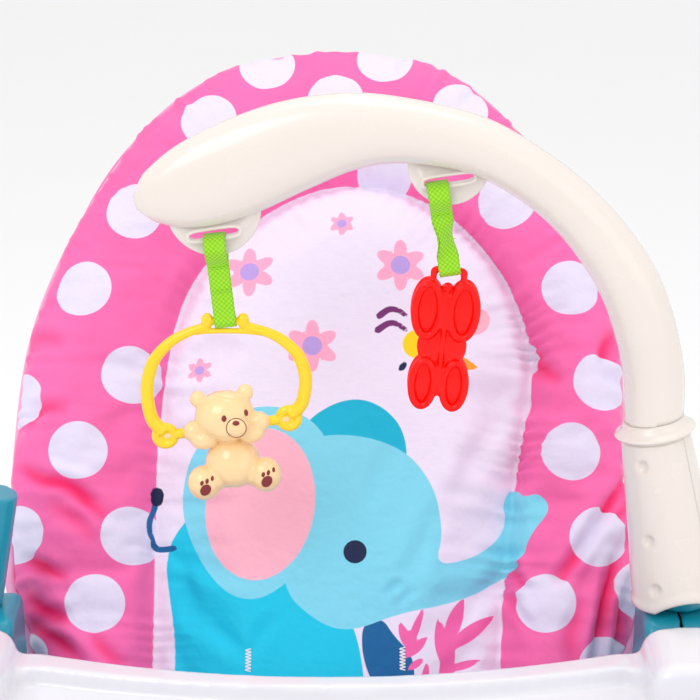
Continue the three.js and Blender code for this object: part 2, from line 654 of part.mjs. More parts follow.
function unitCase(upper) {
  const { x, front, rear, bottom, top, wall } = UNIT;
  const side = outline([
    [front, bottom + 6], [front + 6, bottom], [rear - 6, bottom], [rear, bottom + 6],
    [rear, top - 10], [rear - 10, top], [front + 14, top], [front, top - 14],
  ]);
  const rounded = sideExtrusion(side, -x, x, 3);
  const hollow = box(-x + wall, x - wall, -CROSS_TUBE_Y + 16, rear - wall, bottom + wall, top - wall);
  const bore = rod('x', TUBE.radius + GAP, -x - 1, x + 1, -CROSS_TUBE_Y, tubeZ);
  const [low, high] = upper ? [tubeZ + GAP / 2, 100] : [20, tubeZ - GAP / 2];
  const half = box(-80, 80, -340, -200, low, high);
  const doorway = box(-50, 16, -281, -235, bottom - 1, bottom + wall + 1);
  const openings = upper
    ? [-22, 22].map((buttonX) => rod('z', 7.4, top - wall - 1, top + 1, buttonX, -256))
    : [doorway];
  return keep(cut(rounded, hollow, bore, ...openings), half);
}

function unitButton(x) {
  return rod('z', 7, 79, 89, x, -256);
}

function batteryDoor() {
  return box(-49.5, 15.5, -280.5, -235.5, UNIT.bottom, UNIT.bottom + 3);
}

// ---- Assembly ----
for (const [side, name] of [[-1, 'left'], [1, 'right']]) {
  add(`runner_${name}`, 'teal', runner(side));
  add(`runner_pad_front_${name}`, 'rubber', runnerPad(side, -250, -190));
  add(`runner_pad_rear_${name}`, 'rubber', runnerPad(side, 70, 130));
  add(`pillar_inner_${name}`, 'teal', pillarHalf(side, false));
  add(`pillar_outer_${name}`, 'teal', pillarHalf(side, true));
  add(`post_${name}`, 'teal', post(side));
  add(`kickstand_foot_${name}`, 'rubber', kickstandFoot(side));
  add(`kickstand_pin_${name}`, 'steel', kickstandPin(side));
  add(`tray_latch_button_${name}`, 'teal', latchButton(side));
  add(`waist_strap_${name}`, 'webbing', waistStrap(side));
  add(`buckle_tongue_${name}`, 'purple', buckleTongue(side));
  const reach = [side * (PILLAR.outer - 5), side * (PILLAR.outer + 4)].sort((a, b) => a - b);
  add(`recline_button_${name}`, 'purple', rod('x', 12, ...reach, RECLINE.y, RECLINE.z));
}
add('cross_tube_front', 'steel', crossTube(-CROSS_TUBE_Y));
add('cross_tube_rear', 'steel', crossTube(CROSS_TUBE_Y));
add('seat_tube', 'steel', seatTube());
add('seat_cushion', 'pink', seatCushion());
add('buckle_socket', 'purple', buckleSocket());
add('crotch_strap', 'webbing', crotchStrap());
add('kickstand_bail', 'steel', kickstandBail());

const backrest = backFrame();
add('hub_disc_left', 'teal', hubDisc(-1), backrest);
add('hub_disc_right', 'teal', hubDisc(1), backrest);
add('back_tube', 'steel', backTube(), backrest);
add('back_cushion', 'pink', backCushion(), backrest);

add('tray_shell', 'white', trayShell());

add('sleeve_inner_half', 'cream', sleeveHalf(false));
add('sleeve_outer_half', 'cream', sleeveHalf(true));
add('arm_collar', 'cream', armCollar());
add('arm_front_shell', 'cream', armShell(-1));
add('arm_back_shell', 'cream', armShell(1));

add('hanger_strap_left', 'lime', hangerStrap(), hangingGroup(LEFT_SLOT, LEFT_STRAP_TILT, LEFT_STRAP_TILT, 0));
add('hanger_strap_right', 'lime', hangerStrap(), hangingGroup(RIGHT_SLOT, TOY_TILT, TOY_TILT, 0));
const ringGroup = hangingGroup(LEFT_SLOT, LEFT_STRAP_TILT, 0, STRAP.drop);
add('toy_ring', 'yellow', toyRing(), ringGroup);
const { x: ringX, z: ringZ } = ringGroup.position;
add('tumbling_bear', 'peach', tumblingBear(), tiltedGroup(ringX, ringZ - RING.drop, TOY_TILT));
const butterflyGroup = hangingGroup(RIGHT_SLOT, TOY_TILT, BUTTERFLY_TILT, STRAP.drop);
add('butterfly', 'red', butterfly(), butterflyGroup);

add('unit_case_lower', 'purple', unitCase(false));
add('unit_case_upper', 'purple', unitCase(true));
add('battery_door', 'purple', batteryDoor());
add('battery', 'steel', rod('x', 17, -47, 14, -258, 54.5));
add('motor', 'steel', rod('x', 10, 19, 41, -258, 54.5));
add('motor_weight', 'steel', keep(rod('x', 9, 42, 49, -258, 54.5), box(40, 50, -270, -246, 40, 57)));
add('circuit_board', 'copper', box(-44, 44, -280, -236, 75.8, 77.4));
add('power_button', 'white', unitButton(-22));
add('volume_button', 'white', unitButton(22));

export default seat;
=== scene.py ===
"""Looks of a baby's bouncer seat: padded cover, glossy toy arm with toys, white tray and teal rocker base.
Points are in millimetres in the CAD's frame unless a comment says otherwise, and become metres in place()."""
import json
import math

import bmesh
import bpy
import numpy as np
from mathutils import Matrix, Vector, noise

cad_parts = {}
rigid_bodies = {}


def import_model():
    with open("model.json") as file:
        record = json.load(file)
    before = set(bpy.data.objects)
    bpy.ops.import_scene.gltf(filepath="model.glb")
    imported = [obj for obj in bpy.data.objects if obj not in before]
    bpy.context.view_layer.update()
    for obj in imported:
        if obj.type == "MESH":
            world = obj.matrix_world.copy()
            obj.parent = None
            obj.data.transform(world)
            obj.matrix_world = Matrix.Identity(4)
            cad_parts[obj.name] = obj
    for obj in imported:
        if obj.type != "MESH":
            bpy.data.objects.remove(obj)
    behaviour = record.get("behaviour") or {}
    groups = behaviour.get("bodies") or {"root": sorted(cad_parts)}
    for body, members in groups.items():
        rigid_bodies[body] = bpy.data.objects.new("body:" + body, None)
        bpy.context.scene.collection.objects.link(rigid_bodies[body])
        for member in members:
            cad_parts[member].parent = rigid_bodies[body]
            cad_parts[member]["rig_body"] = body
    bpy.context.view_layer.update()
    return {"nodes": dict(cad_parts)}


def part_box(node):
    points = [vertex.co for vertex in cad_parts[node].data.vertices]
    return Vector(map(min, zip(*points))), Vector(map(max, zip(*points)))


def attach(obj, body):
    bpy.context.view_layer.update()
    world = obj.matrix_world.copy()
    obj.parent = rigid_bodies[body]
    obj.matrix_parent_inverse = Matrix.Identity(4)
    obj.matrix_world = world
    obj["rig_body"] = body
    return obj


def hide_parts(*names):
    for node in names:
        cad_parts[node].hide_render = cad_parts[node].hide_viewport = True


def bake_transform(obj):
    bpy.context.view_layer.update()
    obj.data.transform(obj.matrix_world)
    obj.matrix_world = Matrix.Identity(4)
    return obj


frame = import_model()

MM = 0.001
TOY_TILT = math.radians(8.5)
LEFT_STRAP_TILT = math.radians(6)
BUTTERFLY_TILT = math.radians(-5)
BUTTERFLY_SHIFT = -6.5
POST_LEAN = math.radians(10)
BACK_LEAN = math.radians(30)
POST_FOOT = Vector((202, 0, 316.3))
HINGE = Vector((0, 13, 165))
LEFT_SLOT = Vector((-62.5, 2.3, 535.3))
RIGHT_SLOT = Vector((65.8, 2.3, 565.5))
STRAP_DROP = 50.5
BAR_DROP = 62
RING_SKEW = 5.2


# ---- Making pieces ----
def linked(name, data):
    """A new object in the scene that holds the given data."""
    obj = bpy.data.objects.new(name, data)
    bpy.context.scene.collection.objects.link(obj)
    return obj


def place(name, vertices, faces):
    """A mesh object from points in millimetres, with its faces turned outwards."""
    mesh = bpy.data.meshes.new(name)
    spots = [tuple(float(c) * MM for c in vertex) for vertex in vertices]
    mesh.from_pydata(spots, [], [tuple(map(int, face)) for face in faces])
    shape = bmesh.new()
    shape.from_mesh(mesh)
    bmesh.ops.recalc_face_normals(shape, faces=shape.faces)
    shape.to_mesh(mesh)
    shape.free()
    return linked(name, mesh)


def dress(obj, material, body, slot, *stands_for):
    """Gives a finished mesh its material, its body and the CAD nodes that it stands for."""
    obj.data.materials.clear()
    obj.data.materials.append(material)
    obj.data.polygons.foreach_set("use_smooth", [True] * len(obj.data.polygons))
    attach(obj, body)
    if stands_for:
        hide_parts(*stands_for)
    return obj


def bake_modifiers(obj):
    """Replaces the object's mesh by what its modifiers make of it."""
    scene = bpy.context.evaluated_depsgraph_get()
    mesh = bpy.data.meshes.new_from_object(obj.evaluated_get(scene))
    obj.modifiers.clear()
    obj.data = mesh


def remesh(obj, voxel):
    """Rebuilds the surface in even quads of about the voxel size, in millimetres."""
    modifier = obj.modifiers.new("Remesh", "REMESH")
    modifier.mode = "VOXEL"
    modifier.voxel_size = voxel * MM
    bake_modifiers(obj)


def soften(obj, rounds):
    modifier = obj.modifiers.new("Smooth", "SMOOTH")
    modifier.factor = 0.5
    modifier.iterations = rounds
    bake_modifiers(obj)


def subdivide(obj):
    modifier = obj.modifiers.new("Subdivision", "SUBSURF")
    modifier.levels = modifier.render_levels = 1
    bake_modifiers(obj)


def vertex_values(mesh, field):
    """One vector for each of the mesh's points."""
    flat = np.empty(len(mesh.vertices) * 3)
    mesh.vertices.foreach_get(field, flat)
    return flat.reshape(-1, 3)


def points_of(obj):
    """The mesh's points in millimetres."""
    return vertex_values(obj.data, "co") / MM


def move_points(obj, points):
    obj.data.vertices.foreach_set("co", (np.asarray(points) * MM).ravel())
    obj.data.update()


def normals_of(obj):
    return vertex_values(obj.data, "normal")


def merge(name, *objects):
    """One object from several, so that a remesh can melt them together."""
    shape = bmesh.new()
    for obj in objects:
        obj.data.transform(obj.matrix_world)
        shape.from_mesh(obj.data)
        bpy.data.objects.remove(obj)
    mesh = bpy.data.meshes.new(name)
    shape.to_mesh(mesh)
    shape.free()
    return linked(name, mesh)


def node_copy(name, node):
    """A free copy of a CAD node, to be shaped further."""
    return merge(name, linked(name + "_part", frame["nodes"][node].data.copy()))


def rounded_node(node, material, slot, voxel, rounds):
    """A CAD node's shape with its sharp moulded edges rounded over, standing for that node."""
    obj = node_copy(node + "_skin", node)
    remesh(obj, voxel)
    soften(obj, rounds)
    body = frame["nodes"][node]["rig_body"]
    return dress(obj, material, body, slot, node)


STEPS_PER_SPAN = 24


def smooth_line(points, count, closed=False):
    """count points evenly spaced along a Catmull-Rom line through the given points."""
    points = np.array(points, float)
    ends = [points[-1], *points, points[0], points[1]] if closed else [
        2 * points[0] - points[1], *points, 2 * points[-1] - points[-2]]
    ends = np.array(ends)
    dense = []
    for a, b, c, d in zip(ends, ends[1:], ends[2:], ends[3:]):
        for t in np.linspace(0, 1, STEPS_PER_SPAN, endpoint=False):
            dense.append(0.5 * (2 * b + (c - a) * t + (2 * a - 5 * b + 4 * c - d) * t * t
                                + (3 * b - a - 3 * c + d) * t ** 3))
    dense.append(ends[-2])
    dense = np.array(dense)
    run = np.concatenate([[0], np.cumsum(np.linalg.norm(np.diff(dense, axis=0), axis=1))])
    wanted = np.linspace(0, run[-1], count, endpoint=not closed)
    return np.stack([np.interp(wanted, run, dense[:, axis]) for axis in range(dense.shape[1])], axis=1)


def skin(rings, closed=False):
    """Vertices and quad faces over rings of equal point counts, capped at both ends unless closed."""
    rings = np.array(rings)
    count, sides = rings.shape[:2]
    faces = []
    for ring in range(count if closed else count - 1):
        after = (ring + 1) % count
        for side in range(sides):
            beside = (side + 1) % sides
            here, there = ring * sides, after * sides
            faces.append((here + side, here + beside, there + beside, there + side))
    if not closed:
        faces += [tuple(range(sides)), tuple(range((count - 1) * sides, count * sides))]
    return rings.reshape(-1, 3), faces


def rings_along(line, section, closed=False):
    """Copies of section(station) = [(across, up), ...] stood square to the line, without twist."""
    line = np.array(line, float)
    ahead = np.roll(line, -1, axis=0) - np.roll(line, 1, axis=0) if closed else np.gradient(line, axis=0)
    ahead /= np.linalg.norm(ahead, axis=1)[:, None]
    up = np.array([0.0, 1.0, 0.0]) if abs(ahead[0][1]) < 0.9 else np.array([1.0, 0.0, 0.0])
    rings = []
    for station, (middle, way) in enumerate(zip(line, ahead)):
        up = up - way * np.dot(up, way)
        up /= np.linalg.norm(up)
        across = np.cross(way, up)
        rings.append([middle + across * a + up * b for a, b in section(station)])
    return rings


def circle(radius, sides):
    turns = np.linspace(0, 2 * math.pi, sides, endpoint=False)
    return [(radius * math.cos(t), radius * math.sin(t)) for t in turns]


def tube(name, points, radius, count=80, sides=20, closed=False):
    """A round tube along a smooth line through the points."""
    line = smooth_line(points, count, closed)
    shape = circle(radius, sides)
    return place(name, *skin(rings_along(line, lambda station: shape, closed), closed))


def mirrored(points):
    return [*points, *[(-x, y, z) for x, y, z in reversed(points)]]


def lathe(profile, sides):
    """Rings for a profile of (radius, height) turned about the Z axis."""
    turns = [2 * math.pi * s / sides for s in range(sides)]
    return [[(r * math.cos(t), r * math.sin(t), z) for t in turns] for r, z in profile]


def ball(name, centre, radii, segments=32):
    shape = bmesh.new()
    bmesh.ops.create_uvsphere(shape, u_segments=segments, v_segments=segments // 2, radius=1)
    mesh = bpy.data.meshes.new(name)
    shape.to_mesh(mesh)
    shape.free()
    mesh.transform(Matrix.Translation(Vector(centre) * MM) @ Matrix.Diagonal((*[r * MM for r in radii], 1)))
    return linked(name, mesh)


def set_attribute(obj, name, values):
    """A number for each point of the mesh, which materials read by name."""
    attribute = obj.data.attributes.get(name) or obj.data.attributes.new(name, "FLOAT", "POINT")
    attribute.data.foreach_set("value", np.asarray(values, np.float32))


def set_weave(obj, along, across):
    """Stores where each point lies along and across the cloth, in millimetres."""
    set_attribute(obj, "along", along)
    set_attribute(obj, "across", across)


# ---- Frames of the leaning parts ----
def on_post(points):
    """From a drawing upright at the origin to the right pillar's leaning post axis."""
    return transformed(points, Matrix.Translation(POST_FOOT) @ Matrix.Rotation(-POST_LEAN, 4, "Y"))


BACK_FRAME = Matrix.Translation(HINGE) @ Matrix.Rotation(-BACK_LEAN, 4, "X")


def toy_frame(slot, hang_tilt, tilt, drop, shift=0.0):
    """The frame of a toy tilted about Y, at the end of a strap of length drop that has its own tilt."""
    strap_end = Matrix.Rotation(-hang_tilt, 4, "Y") @ Vector((shift, 0, -drop))
    return Matrix.Translation(slot + strap_end) @ Matrix.Rotation(-tilt, 4, "Y")


def transformed(points, matrix):
    turn = np.array(matrix.to_3x3())
    return np.asarray(points, float) @ turn.T + np.array(matrix.translation)


def stand(obj, matrix):
    """Moves a mesh drawn in a local frame, in millimetres, to its place."""
    move_points(obj, transformed(points_of(obj), matrix))
    return obj


# ---- Materials ----
def new_material(name, **constants):
    """A Principled material with its constant sockets set, and its node tree and shader."""
    material = bpy.data.materials.new(name)
    material.use_nodes = True
    shader = material.node_tree.nodes["Principled BSDF"]
    for socket, value in constants.items():
        shader.inputs[socket.replace("_", " ")].default_value = value
    return material, material.node_tree, shader


def add_node(tree, kind, inputs=(), **settings):
    """Adds a node, sets its properties, and links or sets the inputs given as {socket: link or value}."""
    made = tree.nodes.new("ShaderNode" + kind)
    for key, value in settings.items():
        setattr(made, key, value)
    for key, value in dict(inputs).items():
        if isinstance(value, bpy.types.NodeSocket):
            tree.links.new(value, made.inputs[key])
        else:
            made.inputs[key].default_value = value
    return made


def maths(tree, operation, first, second=0.0):
    return add_node(tree, "Math", {0: first, 1: second}, operation=operation).outputs[0]


def object_place(tree):
    return add_node(tree, "TexCoord").outputs["Object"]


def stretched_place(tree, scale):
    """The object's places, squeezed along X so that noise draws out into lines along it."""
    return add_node(tree, "Mapping", {"Vector": object_place(tree), "Scale": (scale, 1, 1)}).outputs["Vector"]


def cloud(tree, place_socket, size, detail=2.0):
    """Noise whose features are about the given size in millimetres."""
    inputs = {"Vector": place_socket, "Scale": 1 / (size * MM), "Detail": detail}
    return add_node(tree, "TexNoise", inputs).outputs["Fac"]


def mixed(tree, share, first, second):
    made = add_node(tree, "Mix", {0: share}, data_type="RGBA")
    for socket, value in ((made.inputs[6], first), (made.inputs[7], second)):
        if isinstance(value, bpy.types.NodeSocket):
            tree.links.new(value, socket)
        else:
            socket.default_value = (*value, 1)
    return made.outputs[2]


def ranged(tree, value, low, high, to_low=0.0, to_high=1.0):
    inputs = {"Value": value, "From Min": low, "From Max": high, "To Min": to_low, "To Max": to_high}
    return add_node(tree, "MapRange", inputs).outputs["Result"]


def attribute_of(tree, name):
    return add_node(tree, "Attribute", attribute_name=name).outputs["Fac"]


def shade(colour, factor):
    return tuple(min(1.0, c * factor) for c in colour)


def toned(tree, share, colour, dark, light):
    """The colour, going from its dark to its light tone with the share."""
    return mixed(tree, share, shade(colour, dark), shade(colour, light))


def surface(tree, shader, colour, roughness, height, depth):
    """Links the colour and the roughness, and raises the surface by height times depth, in millimetres."""
    tree.links.new(colour, shader.inputs["Base Color"])
    tree.links.new(roughness, shader.inputs["Roughness"])
    inputs = {"Height": height, "Distance": depth * MM, "Strength": 1.0}
    tree.links.new(add_node(tree, "Bump", inputs).outputs["Normal"], shader.inputs["Normal"])


def plastic(name, colour, roughness=0.28, coat=0.4, glow=0.0, mottle=0.035, grain=0.7, peel=0.012):
    """Moulded plastic: slow colour drift, uneven gloss and a fine skin left by the mould."""
    material, tree, shader = new_material(name, Coat_Weight=coat, Coat_Roughness=0.08, IOR=1.49)
    if glow:
        shader.inputs["Subsurface Weight"].default_value = glow
        shader.inputs["Subsurface Radius"].default_value = colour_radius(colour)
        shader.inputs["Subsurface Scale"].default_value = 4 * MM
    where = object_place(tree)
    drift = ranged(tree, cloud(tree, where, 60), 0.3, 0.7)
    tinted = toned(tree, drift, colour, 1 - mottle, 1 + mottle)
    handling = ranged(tree, cloud(tree, where, 30, 2), 0.3, 0.7, roughness * 0.94, roughness * 1.08)
    surface(tree, shader, tinted, handling, cloud(tree, where, grain, 1), peel)
    return material


def colour_radius(colour):
    return tuple(0.3 + 0.7 * c for c in colour)


def coated_steel(name, colour):
    """Powder-coated tube: satin, with a fine orange-peel skin."""
    material, tree, shader = new_material(name, Metallic=0.35, Coat_Weight=0.25, Coat_Roughness=0.2)
    where = object_place(tree)
    drift = ranged(tree, cloud(tree, where, 45), 0.35, 0.65)
    satin = ranged(tree, cloud(tree, where, 9, 4), 0.3, 0.7, 0.3, 0.46)
    surface(tree, shader, toned(tree, drift, colour, 0.94, 1.04), satin, cloud(tree, where, 1.1, 2), 0.05)
    return material


def bright_steel(name, colour=(0.62, 0.63, 0.65)):
    """Turned or drawn metal with fine lines along X."""
    material, tree, shader = new_material(name, Metallic=1.0)
    lines = cloud(tree, stretched_place(tree, 0.05), 0.4, 3)
    surface(tree, shader, toned(tree, lines, colour, 0.85, 1.1), ranged(tree, lines, 0.3, 0.7, 0.22, 0.4),
            lines, 0.02)
    return material


def rubber(name, colour=(0.045, 0.048, 0.052)):
    """Matt moulded rubber with a stippled grip."""
    material, tree, shader = new_material(name, Specular_IOR_Level=0.3)
    where = object_place(tree)
    tint = toned(tree, cloud(tree, where, 12, 4), colour, 0.8, 1.5)
    matte = ranged(tree, cloud(tree, where, 8), 0.3, 0.7, 0.7, 0.9)
    cells = add_node(tree, "TexVoronoi", {"Vector": where, "Scale": 1 / (1.6 * MM)}).outputs["Distance"]
    surface(tree, shader, tint, matte, cells, 0.12)
    return material


def woven(tree, along, across, pitch):
    """The height of a plain weave over two measures in millimetres: threads rise and dip in turn."""
    turn = math.pi / pitch
    first = maths(tree, "SINE", maths(tree, "MULTIPLY", along, turn))
    second = maths(tree, "SINE", maths(tree, "MULTIPLY", across, turn))
    return maths(tree, "MULTIPLY", first, second)


def webbing(name, colour, pitch=1.5, dark=0.62):
    """Flat woven band: coarse ribs across it, painted shade between the threads and painted light on their
    tops, and close selvedges.
    """
    material, tree, shader = new_material(name, Sheen_Weight=0.35, Sheen_Roughness=0.4)
    along, across = attribute_of(tree, "along"), attribute_of(tree, "across")
    wander = maths(tree, "MULTIPLY", cloud(tree, object_place(tree), 6, 3), 0.8)
    threads = ranged(tree, woven(tree, maths(tree, "ADD", along, wander), across, pitch), -1, 1)
    fuzz = cloud(tree, object_place(tree), 0.5, 3)
    # The threads' height also sets the colour: painted shade between the threads, painted light on their
    # tops, with random fuzz in the tone.
    lit = maths(tree, "MULTIPLY", threads, ranged(tree, fuzz, 0.2, 0.8, 0.75, 1.1))
    surface(tree, shader, toned(tree, lit, colour, dark, 1.12), ranged(tree, fuzz, 0.2, 0.8, 0.62, 0.85),
            threads, 0.35)
    return material


def cloth_finish(tree, shader, colour, along, across):
    """Fine woven polyester over foam: threads, slubs and a faint crumple, under the given colour, with
    painted shade in the dips of the weave and painted light on its tops.
    """
    where = object_place(tree)
    threads = ranged(tree, woven(tree, along, across, 0.55), -1, 1)
    slub = cloud(tree, stretched_place(tree, 0.12), 0.7, 2)
    # The weave's height sets the colour's brightness: painted shade in its dips, painted light on its tops;
    # the slubs add random tone.
    tone = ranged(tree, maths(tree, "ADD", threads, slub), 0.2, 1.8, 0.9, 1.05)
    slub_tone_and_weave_shade = add_node(tree, "HueSaturation", {"Color": colour, "Value": tone}).outputs["Color"]
    crumple = maths(tree, "MULTIPLY", cloud(tree, where, 7, 3), 1.6)
    height = maths(tree, "ADD", maths(tree, "MULTIPLY", threads, 0.12), crumple)
    surface(tree, shader, slub_tone_and_weave_shade, ranged(tree, slub, 0.3, 0.7, 0.5, 0.68), height, 0.5)


def printed_cloth(name, base, layers):
    """Woven cloth with a print. Each layer's attribute is the distance inside its shape, in millimetres, or
    for the painted fold shade its strength from -0.25 to 0.25.
    """
    finish = {"Sheen_Weight": 0.25, "Sheen_Roughness": 0.35, "Specular_IOR_Level": 0.35}
    material, tree, shader = new_material(name, **finish)
    drift = ranged(tree, cloud(tree, object_place(tree), 80), 0.3, 0.7)
    colour = toned(tree, drift, base, 0.95, 1.04)
    for attribute, tint in layers:
        inside = ranged(tree, attribute_of(tree, attribute), -0.25, 0.25)
        colour = mixed(tree, inside, colour, tint)
    cloth_finish(tree, shader, colour, attribute_of(tree, "along"), attribute_of(tree, "across"))
    return material


def plain_cloth(name, colour):
    return printed_cloth(name, colour, [])


# Linear colours.
TEAL = (0.004, 0.29, 0.41)
CREAM = (0.82, 0.745, 0.69)
WHITE = (0.82, 0.81, 0.86)
PINK = (1.0, 0.15, 0.44)
# Painted shade: the darker, saturated pink laid into the cover's folds.
FOLD_SHADE_PINK = (1.0, 0.004, 0.14)
PALE_PINK = (1.0, 0.42, 0.66)
LAVENDER = (0.80, 0.73, 0.93)
PANEL = (0.86, 0.77, 0.95)
LIME = (0.36, 0.82, 0.015)
YELLOW = (1.0, 0.66, 0.0)
PEACH = (1.0, 0.69, 0.36)
RED = (1.0, 0.003, 0.001)
PURPLE = (0.24, 0.15, 0.52)
SKY = (0.22, 0.69, 0.88)
CYAN = (0.0, 0.58, 0.83)
FAR_CYAN = (0.0, 0.46, 0.69)
BLUE = (0.0, 0.12, 0.34)
NAVY = (0.003, 0.010, 0.065)
BLUSH = (1.0, 0.47, 0.60)
PETAL = (1.0, 0.40, 0.60)
LILAC = (0.50, 0.34, 0.78)
LEAF = (0.93, 0.13, 0.42)
ORANGE = (1.0, 0.33, 0.02)
PLUM = (0.18, 0.02, 0.16)
DARK_RED = (0.22, 0.003, 0.006)

teal = plastic("TealPlastic", TEAL, roughness=0.33, coat=0.2)
cream = plastic("CreamPlastic", CREAM, roughness=0.26, coat=0.5, glow=0.08, mottle=0.012)
white = plastic("WhitePlastic", WHITE, roughness=0.2, coat=0.6, mottle=0.02)
yellow = plastic("YellowPlastic", YELLOW, roughness=0.25, coat=0.5, glow=0.1)
peach = plastic("PeachPlastic", PEACH, roughness=0.2, coat=0.7, glow=0.2)
red = plastic("RedPlastic", RED, roughness=0.12, coat=0.05, mottle=0.02)
red.node_tree.nodes["Principled BSDF"].inputs["Specular IOR Level"].default_value = 0.26
purple = plastic("PurplePlastic", PURPLE, roughness=0.32, coat=0.25)
dark_red = plastic("DarkRedInk", DARK_RED, roughness=0.3, coat=0.4, grain=0.4)
circuit = plastic("CircuitGreen", (0.02, 0.16, 0.06), roughness=0.45, coat=0.1, grain=1.4, peel=0.05)
sleeve_print = plastic("CellSleeve", (0.06, 0.07, 0.10), roughness=0.35, coat=0.2)
steel = coated_steel("CoatedTube", (0.74, 0.75, 0.78))
metal = bright_steel("BrightSteel")
black_rubber = rubber("GripRubber")
lime = webbing("LimeWebbing", LIME, pitch=1.35)
pale_webbing = webbing("HarnessWebbing", (0.74, 0.66, 0.86), pitch=1.1, dark=0.8)
pink_cloth = plain_cloth("PinkCloth", PINK)
binding_cloth = plain_cloth("BindingCloth", PALE_PINK)
thread = plain_cloth("WhiteThread", (0.9, 0.88, 0.92))


# ---- Shapes on the cover, drawn flat as (across, up) on the leaning back ----
def rounded(points, rounds=3):
    """A closed outline with its corners cut smooth."""
    points = np.array(points, float)
    for _ in range(rounds):
        after = np.roll(points, -1, axis=0)
        points = np.stack([0.75 * points + 0.25 * after, 0.25 * points + 0.75 * after], axis=1).reshape(-1, 2)
    return points


def line_distance(places, points, closed=True):
    """Distance from each place to a chain of points, and the run along it of the nearest point."""
    after = np.roll(points, -1, axis=0)
    starts, ends = (points, after) if closed else (points[:-1], points[1:])
    best = np.full(len(places), np.inf)
    run = np.zeros(len(places))
    travelled = 0.0
    for a, b in zip(starts, ends):
        way = b - a
        length = np.linalg.norm(way) + 1e-9
        share = np.clip(((places - a) @ way) / length ** 2, 0, 1)
        away = np.linalg.norm(places - a - share[:, None] * way, axis=1)
        nearer = away < best
        best = np.where(nearer, away, best)
        run = np.where(nearer, travelled + share * length, run)
        travelled += length
    return best, run


def inside_distance(places, outline):
    """Distance to the outline, positive inside it and negative outside."""
    away, _ = line_distance(places, outline)
    inside = np.zeros(len(places), bool)
    for (x1, u1), (x2, u2) in zip(outline, np.roll(outline, -1, axis=0)):
        if u1 == u2:
            continue
        crosses = (places[:, 1] > min(u1, u2)) & (places[:, 1] <= max(u1, u2))
        at = x1 + (places[:, 1] - u1) * (x2 - x1) / (u2 - u1)
        inside ^= crosses & (places[:, 0] < at)
    return np.where(inside, away, -away)


def oval_distance(places, centre, half_width, half_height, turn=0.0):
    """Roughly the distance inside an oval."""
    c, s = math.cos(turn), math.sin(turn)
    x, u = (places - np.array(centre)).T
    reach = np.hypot((x * c + u * s) / half_width, (u * c - x * s) / half_height)
    return (1 - reach) * min(half_width, half_height)


PAD_OUTLINE = rounded([
    (-146, 20), (146, 20), (170, 70), (175, 104), (188, 134), (188, 160), (180, 206), (179, 254), (178, 300),
    (166, 338), (146, 380), (116, 432), (88, 460), (60, 474), (24, 481), (-20, 481), (-56, 474), (-88, 459),
    (-116, 434), (-138, 402), (-160, 364), (-178, 322), (-188, 282), (-192, 235), (-194, 180), (-190, 134),
    (-175, 104), (-170, 70)])
PANEL_OUTLINE = rounded([
    (-104, 4), (99, 4), (101, 92), (105, 156), (117, 235), (124, 262), (122, 298), (106, 340), (70, 380),
    (22, 396), (-22, 388), (-72, 352), (-94, 316), (-102, 268), (-106, 210), (-105, 92)])
DOT_RADIUS = 17.5
DOTS = [(-151, 321), (-121, 371), (-76, 430), (-40, 468), (34, 472), (3, 443), (81, 438), (34, 400),
        (109, 378), (147, 322), (108, 281), (164, 263), (145, 220), (-121, 268), (-192, 254), (-151, 220),
        (-188, 171), (-119, 170), (-139, 129), (-183, 96), (128, 129), (160, 168), (186, 138), (164, 92),
        (-60, 392), (-150, 60)]
FLOWERS = [(-50, 334, 1.0), (43, 337, 1.0), (-11, 286, 1.0), (7, 364, 0.5), (-80, 273, 0.5)]
HEAD = rounded([
    (-30, 222), (-2, 232), (28, 229), (50, 218), (64, 196), (68, 172), (62, 152), (82, 156), (98, 165),
    (107, 180), (104, 191), (108, 200), (114, 199), (117, 193), (124, 196), (131, 190), (130, 182),
    (122, 174), (112, 152), (92, 138), (66, 128), (40, 123), (12, 112), (-8, 118), (-31, 140)])
NEAR_EAR = rounded([
    (-36, 250), (-12, 242), (1, 224), (4, 196), (-8, 160), (-30, 137), (-48, 130), (-66, 138), (-84, 166),
    (-91, 194), (-84, 224), (-64, 244)])
FAR_EAR = rounded([(-18, 236), (0, 250), (18, 254), (34, 247), (45, 233), (47, 211), (20, 205), (-10, 215)])
BODY = rounded([
    (-70, 196), (-90, 178), (-99, 160), (-96, 134), (-92, 108), (-93, 60), (-90, 20), (24, 20), (22, 60),
    (18, 110), (0, 140), (-40, 180)])
LEG = rounded([(19, 118), (31, 121), (38, 110), (46, 102), (50, 94), (50, 78), (40, 60), (26, 80), (19, 98)])
TAIL_LINE = [(-106, 190), (-110, 179), (-108, 170), (-104, 164), (-94, 164)]
# Leaflets: foot, tip and half width.
LEAFLETS = [
    ((68, 104), (80, 134), 4.6), ((67, 101), (99, 124), 4.2), ((70, 88), (64, 121), 4.6),
    ((68, 90), (90, 97), 2.4), ((66, 74), (73, 112), 4.2), ((44, 96), (56, 128), 2.4),
    ((48, 100), (41, 119), 2.9), ((45, 97), (58, 110), 2.9), ((46, 90), (56, 97), 2.2),
    ((55, 76), (58, 96), 2.2)]
EYE = (15, 160)
BEE_HEAD = (53, 287)
FEELERS = [[(46, 305), (42, 308), (36, 309), (30, 305)], [(46, 296), (40, 300), (35, 300), (29, 296)]]


def best_of(*distances):
    return np.maximum.reduce(distances)


def flower_distance(places, petals):
    """The petals or the hearts of all the flowers."""
    shapes = []
    for x, u, size in FLOWERS:
        if not petals:
            shapes.append(oval_distance(places, (x, u), 6 * size, 6 * size))
            continue
        for turn in (np.arange(6) + 0.5) * math.pi / 3:
            centre = (x + 9 * size * math.cos(turn), u + 9 * size * math.sin(turn))
            shapes.append(oval_distance(places, centre, 7.4 * size, 4.1 * size, turn))
    return best_of(*shapes)


def feeler_distance(places, line):
    """A curved feeler that thickens from the head to its tip."""
    away, run = line_distance(places, smooth_line(line, 16), False)
    return 1.4 + 0.8 * run / run.max() - away


